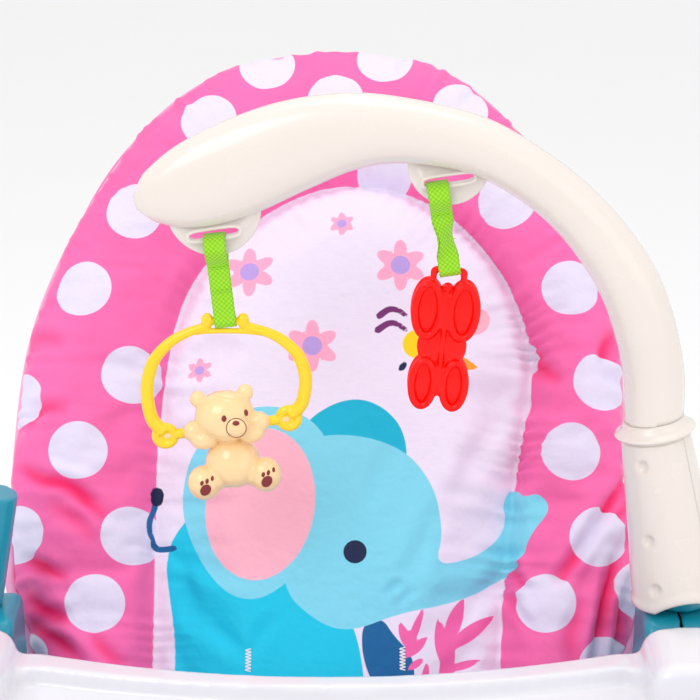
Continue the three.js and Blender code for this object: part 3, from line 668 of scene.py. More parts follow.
def leaf_distance(places):
    """Pointed leaflets, each a lens between its foot and its tip."""
    shapes = []
    for foot, tip, half_width in LEAFLETS:
        way = np.array(tip) - np.array(foot)
        length = np.linalg.norm(way)
        along = (places - np.array(foot)) @ way / length ** 2
        across = np.abs((places - np.array(foot)) @ np.array([-way[1], way[0]]) / length)
        shapes.append(half_width * np.maximum(1 - (2 * along - 1) ** 2, -4) - across)
    return best_of(*shapes)


def print_layers(places, in_panel):
    """The printed shapes as distances, in the order in which they cover each other, each with its colour."""
    dots = best_of(*[oval_distance(places, dot, DOT_RADIUS, DOT_RADIUS) for dot in DOTS])
    shapes = [
        ("dots", LAVENDER, dots),
        ("panel", PANEL, in_panel),
        ("petals", PETAL, flower_distance(places, True)),
        ("hearts", LILAC, flower_distance(places, False)),
        ("body", CYAN, inside_distance(places, BODY)),
        ("leg", BLUE, inside_distance(places, LEG)),
        ("leaves", LEAF, leaf_distance(places)),
        ("far_ear", FAR_CYAN, inside_distance(places, FAR_EAR)),
        ("head", SKY, inside_distance(places, HEAD)),
        ("tail", BLUE, 1.8 - line_distance(places, smooth_line(TAIL_LINE, 24), False)[0]),
        ("tail_tuft", NAVY, oval_distance(places, (-105, 196), 4, 6)),
        ("near_ear", SKY, inside_distance(places, NEAR_EAR)),
        ("inner_ear", BLUSH, oval_distance(places, (-42, 189), 33, 46, -0.12)),
        ("eye", NAVY, oval_distance(places, EYE, 7, 7)),
        ("bee_wing", BLUSH, oval_distance(places, (90, 302), 9, 7, 0.9)),
        ("bee_sting", ORANGE, inside_distance(places, np.array([(74, 284), (92, 272), (74, 270)]))),
        ("bee_foot", NAVY, oval_distance(places, (44, 273), 3.4, 2, 0.9)),
        ("bee_head", YELLOW, oval_distance(places, BEE_HEAD, 9, 9)),
        ("antennae", PLUM, best_of(*[feeler_distance(places, line) for line in FEELERS])),
    ]
    runs_over_seam = ("dots", "panel", "head", "tail", "tail_tuft")
    return [(name, colour, value if name in runs_over_seam else np.minimum(value, in_panel + 0.5))
            for name, colour, value in shapes]


# ---- Padded cover ----
SWELL_FRAMES = 20
COVER_BACK_DEPTH = 13
COVER_FRONT_DEPTH = 34
SEAM_HALF_WIDTH = 98


def plate(name, outline, low, high):
    """A flat plate from an outline of (across, up), between two depths, in the leaning back's own frame."""
    count = len(outline)
    vertices = [(x, -depth, u) for depth in (low, high) for x, u in outline]
    faces = [tuple(range(count)), tuple(range(count, 2 * count))]
    faces += [(i, (i + 1) % count, count + (i + 1) % count, count + i) for i in range(count)]
    return place(name, vertices, faces)


def swell(obj, held, growth, cap, pressure=4.0):
    """Stuffs a pad: cloth blown up from inside, fixed where held is 1, no point moving past the cap."""
    before = points_of(obj)
    group = obj.vertex_groups.new(name="held")
    for index in np.flatnonzero(held > 0):
        group.add([int(index)], float(held[index]), "REPLACE")
    cloth = obj.modifiers.new("Cloth", "CLOTH")
    settings = cloth.settings
    settings.quality = 5
    settings.mass = 0.3
    settings.tension_stiffness = settings.compression_stiffness = 12
    settings.bending_stiffness = 0.4
    settings.use_pressure = True
    settings.uniform_pressure_force = pressure
    settings.shrink_min = -growth
    settings.vertex_group_mass = "held"
    settings.effector_weights.gravity = 0
    cloth.point_cache.frame_start = 1
    cloth.point_cache.frame_end = SWELL_FRAMES
    scene = bpy.context.scene
    for number in range(1, SWELL_FRAMES + 1):
        scene.frame_set(number)
    swollen = bpy.data.meshes.new_from_object(obj.evaluated_get(bpy.context.evaluated_depsgraph_get()))
    obj.modifiers.clear()
    scene.frame_set(1)
    moved = vertex_values(swollen, "co") / MM - before
    reach = np.linalg.norm(moved, axis=1)[:, None]
    move_points(obj, before + moved * np.minimum(1, cap / np.maximum(reach, 1e-6)))
    obj.vertex_groups.clear()


def gather(run, seed, pitch=11.0):
    """Uneven puckers along a seam, from -1 to 1."""
    wobble = [noise.noise(Vector((s / 23.0, seed, 0))) for s in run]
    height = [0.6 + 0.8 * noise.noise(Vector((s / 31.0, seed + 7, 0))) for s in run]
    return np.array(height) * np.cos(2 * math.pi * (np.asarray(run) / pitch + 1.6 * np.array(wobble)))


# Folds in the cover: their line, depth and half width. They also set where the painted fold shade lies.
FOLDS = [
    ([(-189, 214), (-173, 203), (-155, 198), (-129, 176)], 3.4, 4.5),
    ([(-186, 158), (-171, 150), (-154, 144)], 3.4, 4), ([(-184, 137), (-168, 124), (-150, 118)], 3.4, 5),
    ([(-184, 122), (-164, 109), (-144, 94)], 3.6, 4.5), ([(-184, 235), (-174, 246), (-157, 245)], 2.4, 4.5),
    ([(-190, 288), (-176, 292), (-160, 286)], 1.8, 5), ([(-140, 112), (-133, 102), (-121, 92)], 2.4, 4),
    ([(-170, 190), (-150, 178), (-140, 164)], 1.8, 5),
    ([(186, 212), (174, 198), (146, 157), (132, 138)], 5.2, 3.8),
    ([(178, 176), (165, 138), (157, 92)], 5.4, 4), ([(182, 150), (173, 128), (170, 96)], 3.2, 3.4),
    ([(184, 196), (170, 180), (160, 182)], 2.6, 4), ([(108, 158), (112, 144), (120, 138)], 2, 3),
    ([(107, 137), (114, 122), (120, 116)], 2, 3), ([(178, 300), (168, 284), (172, 262)], 3, 5),
    ([(122, 290), (128, 274), (140, 262)], 2.6, 4.5), ([(150, 132), (142, 108), (146, 90)], 1.8, 5),
    ([(101, 250), (96, 231), (85, 214), (77, 190)], 2, 7), ([(105, 149), (78, 122)], 1.6, 5),
    ([(36, 226), (28, 203), (25, 186)], 1.3, 6), ([(66, 192), (52, 156), (41, 139)], 1.8, 6),
    ([(33, 133), (39, 140), (45, 138)], 2, 2.6), ([(43, 128), (45, 134), (52, 138)], 1.8, 2.6),
    ([(-88, 158), (-86, 140), (-78, 122)], 1.6, 5), ([(-72, 118), (-56, 104), (-48, 96)], 1.8, 4.5),
    ([(-34, 122), (-42, 108), (-47, 98)], 1.4, 4.5)]


def back_cover():
    """The back's cover: a padded ring of bolsters round a shallow panel, gathered at its seam and edge."""
    obj = plate("back_cover", PAD_OUTLINE, COVER_BACK_DEPTH, COVER_FRONT_DEPTH)
    remesh(obj, 4.2)
    points = points_of(obj)
    flat = points[:, [0, 2]]
    edge = inside_distance(flat, PAD_OUTLINE)
    panel = inside_distance(flat, PANEL_OUTLINE)
    front = np.clip((-points[:, 1] - 14) / 18, 0, 1)
    share = np.clip(edge, 0, None) / (np.clip(edge, 0, None) + np.abs(panel) + 1e-6)
    bolster = np.where(panel < 0, (4 * share * (1 - share)) ** 0.75, 0)
    wings = np.clip((np.abs(flat[:, 0]) - 100) / 80, 0, 1) * np.clip((430 - flat[:, 1]) / 150, 0, 1)
    dish = np.where(panel > 0, 5 * (1 - np.exp(-np.clip(panel, 0, None) / 16)), 0)
    lift = 13 * bolster + 9 * wings * np.clip(edge / 25, 0, 1) + dish - 7 * np.exp(-(panel / 6) ** 2)
    points[:, 1] -= front * lift
    move_points(obj, points)
    on_back = points[:, 1] > -14.5
    on_seam = (np.abs(panel) < 3.5) & (front > 0.5)
    swell(obj, np.where(on_back | on_seam | (edge < 1.5), 1.0, 0.0), growth=0.035, cap=9)
    subdivide(obj)
    points = points_of(obj)
    normals = normals_of(obj)
    flat = points[:, [0, 2]]
    edge_away, edge_run = line_distance(flat, PAD_OUTLINE)
    seam_away, seam_run = line_distance(flat, PANEL_OUTLINE)
    panel = inside_distance(flat, PANEL_OUTLINE)
    front = np.clip((-points[:, 1] - 16) / 10, 0, 1)
    pucker = 2 * gather(edge_run, 3.1, 19) * np.exp(-edge_away / 17) * np.clip(edge_away / 3, 0.5, 1)
    pucker += (1.4 + 0.9 * (flat[:, 0] > 80)) * gather(seam_run, 9.4, 10) * np.exp(-seam_away / 13) * front
    pucker -= 1.8 * np.exp(-(seam_away / 2.2) ** 2) * front
    # How deep each point lies in a fold, used for the painted shade in the folds.
    painted_fold_shade = np.zeros(len(points))
    for line, depth, width in FOLDS:
        away, run = line_distance(flat, smooth_line(line, 16), False)
        fade = np.sin(np.clip(run / run.max(), 0, 1) * math.pi) ** 0.5
        valley = np.exp(-(away / width) ** 2)
        pucker -= front * fade * depth * (valley - 0.5 * np.exp(-((away - 1.7 * width) / width) ** 2))
        painted_fold_shade = np.maximum(painted_fold_shade, fade * valley * min(1, depth / 3.4))
    slow = np.array([noise.noise(Vector((x / 46, u / 60, 2.0))) for x, u in flat])
    points += normals * (pucker + 2.2 * slow * front)[:, None]
    points[:, 1] = np.minimum(points[:, 1], -11.6)
    move_points(obj, points)
    layers = print_layers(flat, panel)
    # Painted shade in the folds, strongest at the bottom of the deepest folds on the front.
    set_attribute(obj, "painted_fold_shade", 0.5 * (painted_fold_shade * front) ** 1.3 - 0.25)
    for name, _, distance in layers:
        set_attribute(obj, name, np.where(front > 0.1, distance, -9.0) if name != "dots" else distance)
    set_weave(obj, flat[:, 1], flat[:, 0])
    stand(obj, BACK_FRAME)
    # The cloth turns deep pink in its folds (painted shade), under the print.
    tints = [("painted_fold_shade", FOLD_SHADE_PINK), *[(name, tint) for name, tint, _ in layers]]
    dress(obj, printed_cloth("PrintedClothFoldShade", PINK, tints), "backrest", "pink", "back_cushion")
    return obj


cover = back_cover()


# ---- Toy arm ----
SLOT_HALF_WIDTH = 13.5
SLOT_HALF_HEIGHT = 2.1
SLEEVE_FOOT_RADIUS = 26
SLEEVE_FOOT = 5.5
SLEEVE_TOP = 105
SLEEVE_BORE = 14.6
# Tabs below the arm: side, slot, height of the disc's middle and its radius.
HANGER_TABS = [("left", LEFT_SLOT, 549, 26), ("right", RIGHT_SLOT, 573.8, 22.5)]
PARTING_RIM = 0.035
# Dimples in the sleeve: their turn and height on it.
SLEEVE_DIMPLES = [(math.radians(236), 93), (math.radians(233), 49), (math.radians(236), 20)]
# Centre line of the arm with its half widths: (x, z, half width, half depth).
ARM_STATIONS = [
    (182.6, 426, 16.4, 16.4), (180.6, 460, 17, 16.5), (169, 500, 17, 16.5), (151, 530, 16, 16),
    (128, 555, 15, 15.5), (101, 574.5, 15, 15.5), (74.5, 586.7, 16, 15.5), (38, 593, 18, 15),
    (9.4, 592, 21.5, 14.5), (-21.4, 583.5, 25.3, 14), (-51.5, 571, 26.5, 13.5), (-77.5, 561, 22.8, 12),
    (-96, 555.5, 14.4, 8.5), (-105, 553, 4, 3)]
COLLAR_TOP = 114.9


def arm_half(name, side):
    """The front (-1) or back (+1) half of the arm, with a thin raised rim beside its parting line."""
    line = smooth_line(ARM_STATIONS, 120)
    ahead = np.gradient(line[:, :2], axis=0)
    ahead /= np.linalg.norm(ahead, axis=1)[:, None]
    turns = np.linspace(0, math.pi, 33)
    rim = 1 - PARTING_RIM + PARTING_RIM * np.exp(-(np.minimum(turns, math.pi - turns) / 0.17) ** 6)
    rings = []
    for (x, z, wide, deep), (way_x, way_z) in zip(line, ahead):
        wide, deep = max(wide, 0.5), max(deep, 0.5)
        across = np.cos(turns) * wide * rim
        out = side * (0.15 + np.sin(turns) ** 0.9 * deep * rim)
        rings.append([(x - way_z * a, o, z + way_x * a) for a, o in zip(across, out)])
    points, faces = skin(rings)
    axis = np.array([-math.sin(POST_LEAN), 0, math.cos(POST_LEAN)])
    short = np.clip(COLLAR_TOP - (points - np.array(POST_FOOT)) @ axis, 0, None)
    return place(name, points + short[:, None] * axis, faces)


def ray_to_circle(start, turn, centre, radius):
    """Where a ray from start at an angle meets a circle around it."""
    way = np.array([math.cos(turn), math.sin(turn)])
    offset = np.array(start) - np.array(centre)
    reach = -offset @ way + math.sqrt(max((offset @ way) ** 2 - offset @ offset + radius ** 2, 0))
    return np.array(start) + way * reach


def hanger_tab(name, slot, disc_z, radius):
    """The half disc that hangs below the arm, with a slot in a raised rim."""
    turns = np.linspace(0, 2 * math.pi, 96, endpoint=False)
    c, s = math.cos(TOY_TILT), math.sin(TOY_TILT)

    def disc_ring(inset, y):
        points = [ray_to_circle((slot.x, slot.z), t, (slot.x, disc_z), radius - inset) for t in turns]
        return [(x, y, z) for x, z in points]

    def slot_ring(outset, y):
        ring = []
        for t in turns:
            a = math.copysign(abs(math.cos(t)) ** 0.45, math.cos(t)) * (SLOT_HALF_WIDTH + outset)
            b = math.copysign(abs(math.sin(t)) ** 0.6, math.sin(t)) * (SLOT_HALF_HEIGHT + outset)
            ring.append((slot.x + a * c - b * s, y, slot.z + a * s + b * c))
        return ring

    rings = [disc_ring(inset, y) for inset, y in ((0.9, 0.3), (0, 1.2), (0, 3.5), (0.9, 4.4))]
    rings += [slot_ring(outset, y) for outset, y in (
        (2.3, 4.4), (1.9, 5.4), (0.5, 5.4), (0, 4.8), (0, 0), (0.5, -0.9), (1.9, -0.9), (2.3, 0.3))]
    return place(name, *skin(rings, closed=True))


def sleeve_half(name, first_turn):
    """Half of the sleeve on the post: a flared tube, arched at its foot, with a lip and three dimples."""
    outer = smooth_line([(SLEEVE_FOOT_RADIUS, SLEEVE_FOOT), (26.6, 8.5), (25.6, 24), (23.4, 50), (21.4, 80),
                         (19.6, 103.5)], 70)
    rings = []
    for turn in np.linspace(first_turn + 0.006, first_turn + math.pi - 0.006, 64):
        x = SLEEVE_FOOT_RADIUS * math.cos(turn)
        foot = max(SLEEVE_FOOT, -15 + math.sqrt(max(0, SLEEVE_FOOT_RADIUS ** 2 - x * x)))
        stretch = (SLEEVE_TOP - foot) / (SLEEVE_TOP - SLEEVE_FOOT)
        profile = []
        for radius, height in outer:
            height = foot + (height - SLEEVE_FOOT) * stretch
            radius += 0.9 * math.exp(-((height - foot) / 5.2) ** 6)
            for dimple_turn, dimple_height in SLEEVE_DIMPLES:
                beside = math.remainder(turn - dimple_turn, 2 * math.pi) * radius
                radius -= 2.4 * math.exp(-((beside / 3.2) ** 2 + ((height - dimple_height) / 3) ** 2) ** 3)
            profile.append((radius, height))
        profile += [(18.9, 104.9), (SLEEVE_BORE, 104.9), (SLEEVE_BORE, foot)]
        rings.append([(r * math.cos(turn), r * math.sin(turn), h) for r, h in profile])
    points, faces = skin(rings)
    return place(name, on_post(points), faces)


def arm_collar():
    profile = [(0.01, 105.4), (20.4, 105.4), (20.8, 106.4), (22.4, 107.1), (22.9, 107.8), (22.6, 108.5),
               (20.6, 109.3), (18.9, 110.8), (17.8, 112.8), (17.2, 114.6), (0.01, 114.7)]
    points, faces = skin(lathe(profile, sides=96))
    return place("arm_collar_skin", on_post(points), faces)


def toy_arm():
    dress(arm_half("arm_front_skin", -1), cream, "toy_arm", "cream", "arm_front_shell")
    dress(arm_half("arm_back_skin", 1), cream, "toy_arm", "cream", "arm_back_shell")
    for side, *measures in HANGER_TABS:
        dress(hanger_tab(f"hanger_tab_{side}", *measures), cream, "toy_arm", "cream")
    dress(arm_collar(), cream, "toy_arm", "cream", "arm_collar")
    quarter = math.pi / 4
    for name, node, turn in (("sleeve_right_skin", "sleeve_outer_half", -quarter),
                             ("sleeve_left_skin", "sleeve_inner_half", 3 * quarter)):
        dress(sleeve_half(name, turn), cream, "arm_sleeve", "cream", node)


# ---- Hanging straps ----
STRAP_HALF_WIDTH = 6
RIGHT_STRAP_TWIST = 0.95
STRAP_LOOP = [(0, -53.8), (-2.9, -50.5), (-1.3, -46), (-0.8, -40), (-0.8, -24), (-1.4, -18), (-6, -13),
              (-8.8, -8), (-7.2, -2.6), (0, -0.5), (7.2, -2.6), (8.8, -8), (6, -13), (1.4, -18), (0.8, -24),
              (0.8, -40), (1.3, -46), (2.9, -50.5)]


def hanger_strap(side, matrix, twist=0.0):
    """A woven band through the slot and round the toy's bar, sewn across below the slot, and twisted."""
    path = smooth_line(STRAP_LOOP, 150, closed=True)
    ahead = np.roll(path, -1, axis=0) - np.roll(path, 1, axis=0)
    ahead /= np.linalg.norm(ahead, axis=1)[:, None]
    shares = np.linspace(-1, 1, 9)
    rings = []
    for (y, z), (way_y, way_z) in zip(path, ahead):
        turn = twist * math.sin(math.pi * min(max((-20 - z) / 25, 0), 1))
        ring = []
        for face in (1, -1):
            for share in shares[::face]:
                thick = face * 0.5 * (1 - 0.35 * abs(share) ** 8)
                x, depth = STRAP_HALF_WIDTH * share, y - way_z * thick
                ring.append((x * math.cos(turn) - depth * math.sin(turn),
                             x * math.sin(turn) + depth * math.cos(turn), z + way_y * thick))
        rings.append(ring)
    obj = place(f"strap_{side}", *skin(rings, closed=True))
    run = np.concatenate([[0], np.cumsum(np.linalg.norm(np.diff(path, axis=0), axis=1))])
    across = STRAP_HALF_WIDTH * np.concatenate([shares, shares[::-1]])
    set_weave(obj, np.repeat(run, len(across)), np.tile(across, len(path)))
    stand(obj, matrix)
    dress(obj, lime, f"toy_strap_{side}", "lime", f"hanger_strap_{side}")
    rows = []
    for height in (-19.5, -33):
        for step in range(5):
            ends = [(-4.6 + 2.1 * step, -1.75, height), (-3.6 + 2.1 * step, -1.95, height + 0.15),
                    (-2.9 + 2.1 * step, -1.7, height)]
            rows.append(tube("stitch", ends, 0.32, count=7, sides=8))
    stitches = stand(merge(f"strap_{side}_stitches", *rows), matrix)
    dress(stitches, thread_lime, f"toy_strap_{side}", "lime")


# ---- Hanging toys ----
EYELET_X = 34.8
EYELET_RADIUS = 5.2


def cross_bar(name, low, high, radius):
    return tube(name, [(low, 0, 0), ((low + high) / 2, 0, 0), (high, 0, 0)], radius, count=16, sides=24)


def toy_ring():
    """A flattened hoop with two strap lugs at its top bar and an eyelet at each end, the left one lower."""
    half = [(36, -60), (42.3, -52), (44.4, -37), (41.5, -24), (36, -16), (28, -9.5), (18, -5), (10.5, -3)]
    parts = []
    for side in (-1, 1):
        line = smooth_line([(side * x, 0, z * (1 - side * RING_SKEW / BAR_DROP)) for x, z in half], 60)
        eyelet_z = side * RING_SKEW - BAR_DROP
        sizes = np.interp(np.linspace(0, 1, 60), [0, 0.45, 1], [3.9, 3.7, 2.4])
        rings = rings_along(line, lambda station, sizes=sizes: circle(sizes[station], 20))
        parts.append(place("hoop", *skin(rings)))
        parts.append(ball("lug", (side * 10, 0, 0.2), (3.4, 3.4, 4.6)))
        rim = [(side * EYELET_X + EYELET_RADIUS * math.cos(t), 0, eyelet_z + EYELET_RADIUS * math.sin(t))
               for t in np.arange(8) * math.pi / 4]
        parts.append(tube("eyelet", rim, 2.6, count=48, closed=True))
        parts.append(ball("web", (side * EYELET_X, 0, eyelet_z), (5, 1.5, 5)))
    parts.append(cross_bar("bar", -12, 12, 2))
    under_bar = [(-24, 0, -7.4), (-12, 0, -6), (0, 0, -5.6), (12, 0, -6), (24, 0, -7.4)]
    parts.append(tube("under_bar", under_bar, 1.6))
    obj = merge("toy_ring_skin", *parts)
    remesh(obj, 0.6)
    soften(obj, 4)
    stand(obj, toy_frame(LEFT_SLOT, LEFT_STRAP_TILT, 0, STRAP_DROP))
    return dress(obj, yellow, "ring", "yellow", "toy_ring")


def surface_at(obj, x, z):
    """The place and outward direction of the front of a piece, seen along Y, in millimetres."""
    bpy.context.view_layer.update()
    hit, spot, out, _ = obj.ray_cast(Vector((x, -300, z)) * MM, Vector((0, 1, 0)))
    return (spot / MM, out) if hit else (Vector((x, 0, z)), Vector((0, -1, 0)))


def badge(name, obj, x, z, half_width, half_height, height, turn=0.0):
    """A low oval dome lying on the front of a piece, such as an eye or a painted pad."""
    spot, out = surface_at(obj, x, z)
    dome = ball(name, (0, 0, 0), (half_width, half_height, height), 24)
    facing = out.to_track_quat("Z", "Y").to_matrix().to_4x4()
    matrix = Matrix.Translation(spot) @ facing @ Matrix.Rotation(turn, 4, "Z")
    return stand(dome, matrix)


def bear():
    """A chubby bear about its cross bar, with a face turned a little to one side and printed paws."""
    parts = [ball("head", (0, -1, 7), (17, 13.6, 14.8)), ball("cheek", (2, -5, 2.5), (13, 9.8, 9)),
             ball("muzzle", (6.5, -12, 3.2), (7, 4.6, 6.6)), ball("body", (0, -0.5, -21), (15.6, 13.4, 15)),
             ball("belly", (1, -5, -23), (12, 9.8, 11.5))]
    for side in (-1, 1):
        parts += [ball("ear", (side * 13.4, 0, 18.6), (4.6, 4, 5)),
                  ball("foot", (side * 17.4, -6, -29), (9.4, 8.6, 10.2)),
                  ball("thigh", (side * 11, -3, -27), (9.5, 9, 8.5)),
                  ball("arm", (side * 13.5, -4, -4), (7.8, 6.2, 5.8)),
                  ball("hand", (side * 18.5, -2.5, 1), (6.2, 5.6, 6.2)),
                  cross_bar("shaft", *sorted((side * 14, side * 36)), 2.1)]
    obj = merge("bear_skin", *parts)
    remesh(obj, 0.6)
    soften(obj, 9)
    ring_frame = toy_frame(LEFT_SLOT, LEFT_STRAP_TILT, 0, STRAP_DROP)
    matrix = ring_frame @ Matrix.Translation((0, 0, -BAR_DROP)) @ Matrix.Rotation(-TOY_TILT, 4, "Y")
    stand(obj, matrix)
    dress(obj, peach, "bear", "peach", "tumbling_bear")
    for side, name in ((-1, "left"), (1, "right")):
        sleeve = cross_bar("shaft_sleeve_" + name, *sorted((side * 22, side * 30)), 2.9)
        dress(stand(sleeve, matrix), yellow, "bear", "yellow")

    def in_place(x, z):
        return transformed([(x, 0, z)], matrix)[0][[0, 2]]

    def mark(name, x, z, *sizes, turn=0.0):
        dress(badge(name, obj, *in_place(x, z), *sizes, turn=turn), dark_red, "bear", "peach")

    mark("bear_nose", 7, 6.6, 2, 1.4, 1)
    for side, name in ((-1, "left"), (1, "right")):
        mark("bear_eye_" + name, 6.1 * side + 6.8, 9.7, 1.4, 1.9, 0.7)
        mark("bear_paw_" + name, 17.4 * side + 1, -30.5, 2.9, 3.7, 0.35, turn=-0.5)
        for toe in (-1, 0, 1):
            place_x = 17.4 * side + 2.6 + 3 * toe
            mark(f"bear_toe_{name}_{toe + 1}", place_x, -25.6 + 0.6 * toe, 1, 1.5, 0.3, turn=-0.3)
    turns = np.linspace(0, 2 * math.pi, 28, endpoint=False)
    muzzle = [surface_at(obj, *in_place(6.6 + 5.5 * math.cos(t), 3.4 + 5.5 * math.sin(t)))[0] for t in turns]
    outline = tube("bear_muzzle_line", [tuple(spot) for spot in muzzle], 0.26, count=96, sides=8, closed=True)
    dress(outline, dark_red, "bear", "peach")


# Wing rims of the butterfly: across, up, half width and half height of the rim's middle, and its radius.
WING_RIMS = [(9.9, -22.8, 7.2, 15.0, 2.3), (8.7, -65.4, 6.3, 13.2, 2.2)]


def butterfly():
    """A glossy four-lobed butterfly with raised rims round domed hollows, the same on both faces."""
    loop = [(-8.4, 0, -16), (-8.4, 0, -4), (-7.6, 0, -0.6), (0, 0, 0), (7.6, 0, -0.6), (8.4, 0, -4),
            (8.4, 0, -16)]
    parts = [tube("loop", loop, 1.9), ball("middle", (0, 0, -39), (9.5, 3.4, 32)),
             ball("waist", (0, 0, -44), (14, 4.2, 15))]
    for side in (-1, 1):
        for x, z, half_width, half_height, thickness in WING_RIMS:
            parts.append(ball("web", (side * x, 0, z), (half_width + 1, 3.2, half_height + 1)))
            for face in (-1, 1):
                rim = [(side * x + half_width * math.cos(t), face * 4.0, z + half_height * math.sin(t))
                       for t in np.arange(16) * math.pi / 8]
                parts.append(tube("rim", rim, thickness, count=90, sides=16, closed=True))
    for face in (-1, 1):
        rib = [(0, face * 4, -10), (0, face * 4.6, -30), (0, face * 4.6, -50), (0, face * 3.2, -72)]
        parts.append(tube("rib", rib, 1.4, count=60, sides=14))
    obj = merge("butterfly_skin", *parts)
    remesh(obj, 0.55)
    soften(obj, 5)
    stand(obj, toy_frame(RIGHT_SLOT, TOY_TILT, BUTTERFLY_TILT, STRAP_DROP, BUTTERFLY_SHIFT))
    return dress(obj, red, "butterfly_toy", "red", "butterfly")


thread_lime = plain_cloth("LimeThread", (0.38, 0.78, 0.05))
toy_arm()
hanger_strap("left", toy_frame(LEFT_SLOT, LEFT_STRAP_TILT, LEFT_STRAP_TILT, 0))
hanger_strap("right", toy_frame(RIGHT_SLOT, TOY_TILT, TOY_TILT, 0, BUTTERFLY_SHIFT), RIGHT_STRAP_TWIST)
toy_ring()
bear()
butterfly()


# ---- Tray ----
def tray():
    obj = node_copy("tray_skin", "tray_shell")
    remesh(obj, 2.0)
    soften(obj, 12)
    subdivide(obj)
    return dress(obj, white, "tray", "white", "tray_shell")


tray()


# ---- Cover: trims, seat and the strip between ----
PIPING_STATIONS = 420
PIPING_RADIUS = 1.7
PIPING_SIDES = 10


def piping():
    """The binding sewn round the back cover, wider and wavy at the sides of its lower half."""
    line = smooth_line([(x, -25, u) for x, u in PAD_OUTLINE[::4]], PIPING_STATIONS, closed=True)
    wide = 2.4 * np.exp(-((line[:, 2] - 128) / 50) ** 4) * (np.abs(line[:, 0]) > 150)
    sway = np.array([noise.noise(Vector((u / 17.0, math.copysign(3, x), 0))) for x, _, u in line])
    line[:, 0] += np.sign(line[:, 0]) * wide * (0.6 + sway)
    line[:, 1] -= 1.6 * wide
    rings = rings_along(line, lambda at: circle(PIPING_RADIUS + wide[at], PIPING_SIDES), closed=True)
    obj = place("back_piping", *skin(rings, closed=True))
    along = np.repeat(np.arange(PIPING_STATIONS) * 3.0, PIPING_SIDES)
    set_weave(obj, along, np.tile(np.arange(PIPING_SIDES) * 1.0, PIPING_STATIONS))
    return dress(stand(obj, BACK_FRAME), binding_cloth, "backrest", "pink")


BACK_TUBE = [(-166, 0, 11), (-166, 0, 98), (-167, 0, 198), (-165, 0, 298), (-148, 0, 374), (-106, 0, 434),
             (-40, 0, 459), (40, 0, 459), (106, 0, 434), (148, 0, 374), (165, 0, 298), (167, 0, 198),
             (166, 0, 98), (166, 0, 11)]
POCKET = [(-8, -12.6), (4, -12.6), (10.5, -7), (12.6, 0), (10.5, 7.4), (3, 12.6), (-8, 13.2), (-24, 13.4),
          (-40, 13.0)]


def back_pocket():
    """The pocket behind the cover that holds it on the arch of the back tube, hemmed at its lower edge."""
    line = smooth_line(BACK_TUBE, 260)[74:186]
    outer = smooth_line(POCKET, 40)
    side_step = np.array([0, 1.2]) * np.sign(outer[:, 1:] + 1e-9)
    end_step = np.array([1.2, 0]) * (outer[:, :1] > 4)
    inner = outer - side_step - end_step
    inner[-3:] = outer[-3:] + (inner[-3:] - outer[-3:]) * 2.2
    section = [tuple(p) for p in [*outer, *inner[::-1]]]
    rings = np.array(rings_along(line, lambda station: section))
    for number, ring in enumerate(rings):
        sway = 1.3 * noise.noise(Vector((number / 5.0, 4.0, 0)))
        ring[:, 1] += np.where(ring[:, 1] > 9, sway, 0)
    obj = place("back_pocket", *skin(rings))
    flat = points_of(obj)
    set_weave(obj, flat[:, 2], flat[:, 0])
    dress(stand(obj, BACK_FRAME), pink_cloth, "backrest", "pink")
    return obj


SEAT_HALF_WIDTH = 169
SEAT_TOP = 208
SEAT_FRONT = 285
SEAT_DOT_PITCH = 64
SEAT_ROW_PITCH = 50
SEAT_PROFILE = [(-19, 152), (-19, 172), (-27, 177), (-80, 178), (-150, 186), (-210, 199), (-250, 210),
                (-285, 211), (-306, 196), (-314, 170), (-312, 152), (-300, 152), (-294, 168), (-280, 183),
                (-250, 180), (-190, 169), (-120, 158), (-60, 153)]


def seat_cover():
    """The seat's cover, rolled over the front tube, with the same pale panel and dots as the back."""
    profile = rounded(SEAT_PROFILE, 2)
    rings = [[(x * SEAT_HALF_WIDTH, y, z) for y, z in profile] for x in (-1, 1)]
    obj = place("seat_cover", *skin(rings))
    remesh(obj, 5.5)
    points = points_of(obj)
    top = normals_of(obj)[:, 2]
    seam = np.abs(np.abs(points[:, 0]) - SEAM_HALF_WIDTH)
    side_fall = np.clip((np.abs(points[:, 0]) - 140) / 30, 0, 1) ** 2
    points[:, 2] += np.where(top > 0.3, 3 * np.clip(seam / 20, 0, 1) - 4 * side_fall - 1.5, 0)
    move_points(obj, points)
    held = (top < -0.2) | (seam < 3.2) & (top > 0) | (points[:, 1] > -26)
    swell(obj, held.astype(float), pressure=3.0, growth=0.03, cap=5)
    subdivide(obj)
    points = points_of(obj)
    normals = normals_of(obj)
    upper = np.clip(normals[:, 2] * 2, 0, 1)
    seam = np.abs(np.abs(points[:, 0]) - SEAM_HALF_WIDTH)
    gathers = 0.9 * gather(-points[:, 1], 5.5, 10) * np.exp(-seam / 12)
    pucker = (gathers - 1.5 * np.exp(-(seam / 2.2) ** 2)) * upper
    slow = np.array([noise.noise(Vector((x / 40, y / 40, 7.0))) for x, y, _ in points])
    move_points(obj, points + normals * (pucker + 1.2 * slow * upper)[:, None])
    over_front = np.clip((-points[:, 1] - SEAT_FRONT) / 20, 0, 1)
    flat = np.stack([points[:, 0], points[:, 1] - over_front * (SEAT_TOP - points[:, 2])], axis=1)
    places = [((x + (row % 2) / 2) * SEAT_DOT_PITCH, -10 - SEAT_ROW_PITCH * row)
              for x in range(-4, 4) for row in range(7)]
    ovals = [oval_distance(flat, spot, DOT_RADIUS, DOT_RADIUS) for spot in places]
    set_attribute(obj, "dots", best_of(*ovals))
    set_attribute(obj, "panel", SEAM_HALF_WIDTH - np.abs(points[:, 0]))
    set_weave(obj, points[:, 1] + points[:, 2], points[:, 0])
    cloth = printed_cloth("SeatCloth", PINK, [("dots", LAVENDER), ("panel", PANEL)])
    dress(obj, cloth, "chair", "pink", "seat_cushion")
    return obj


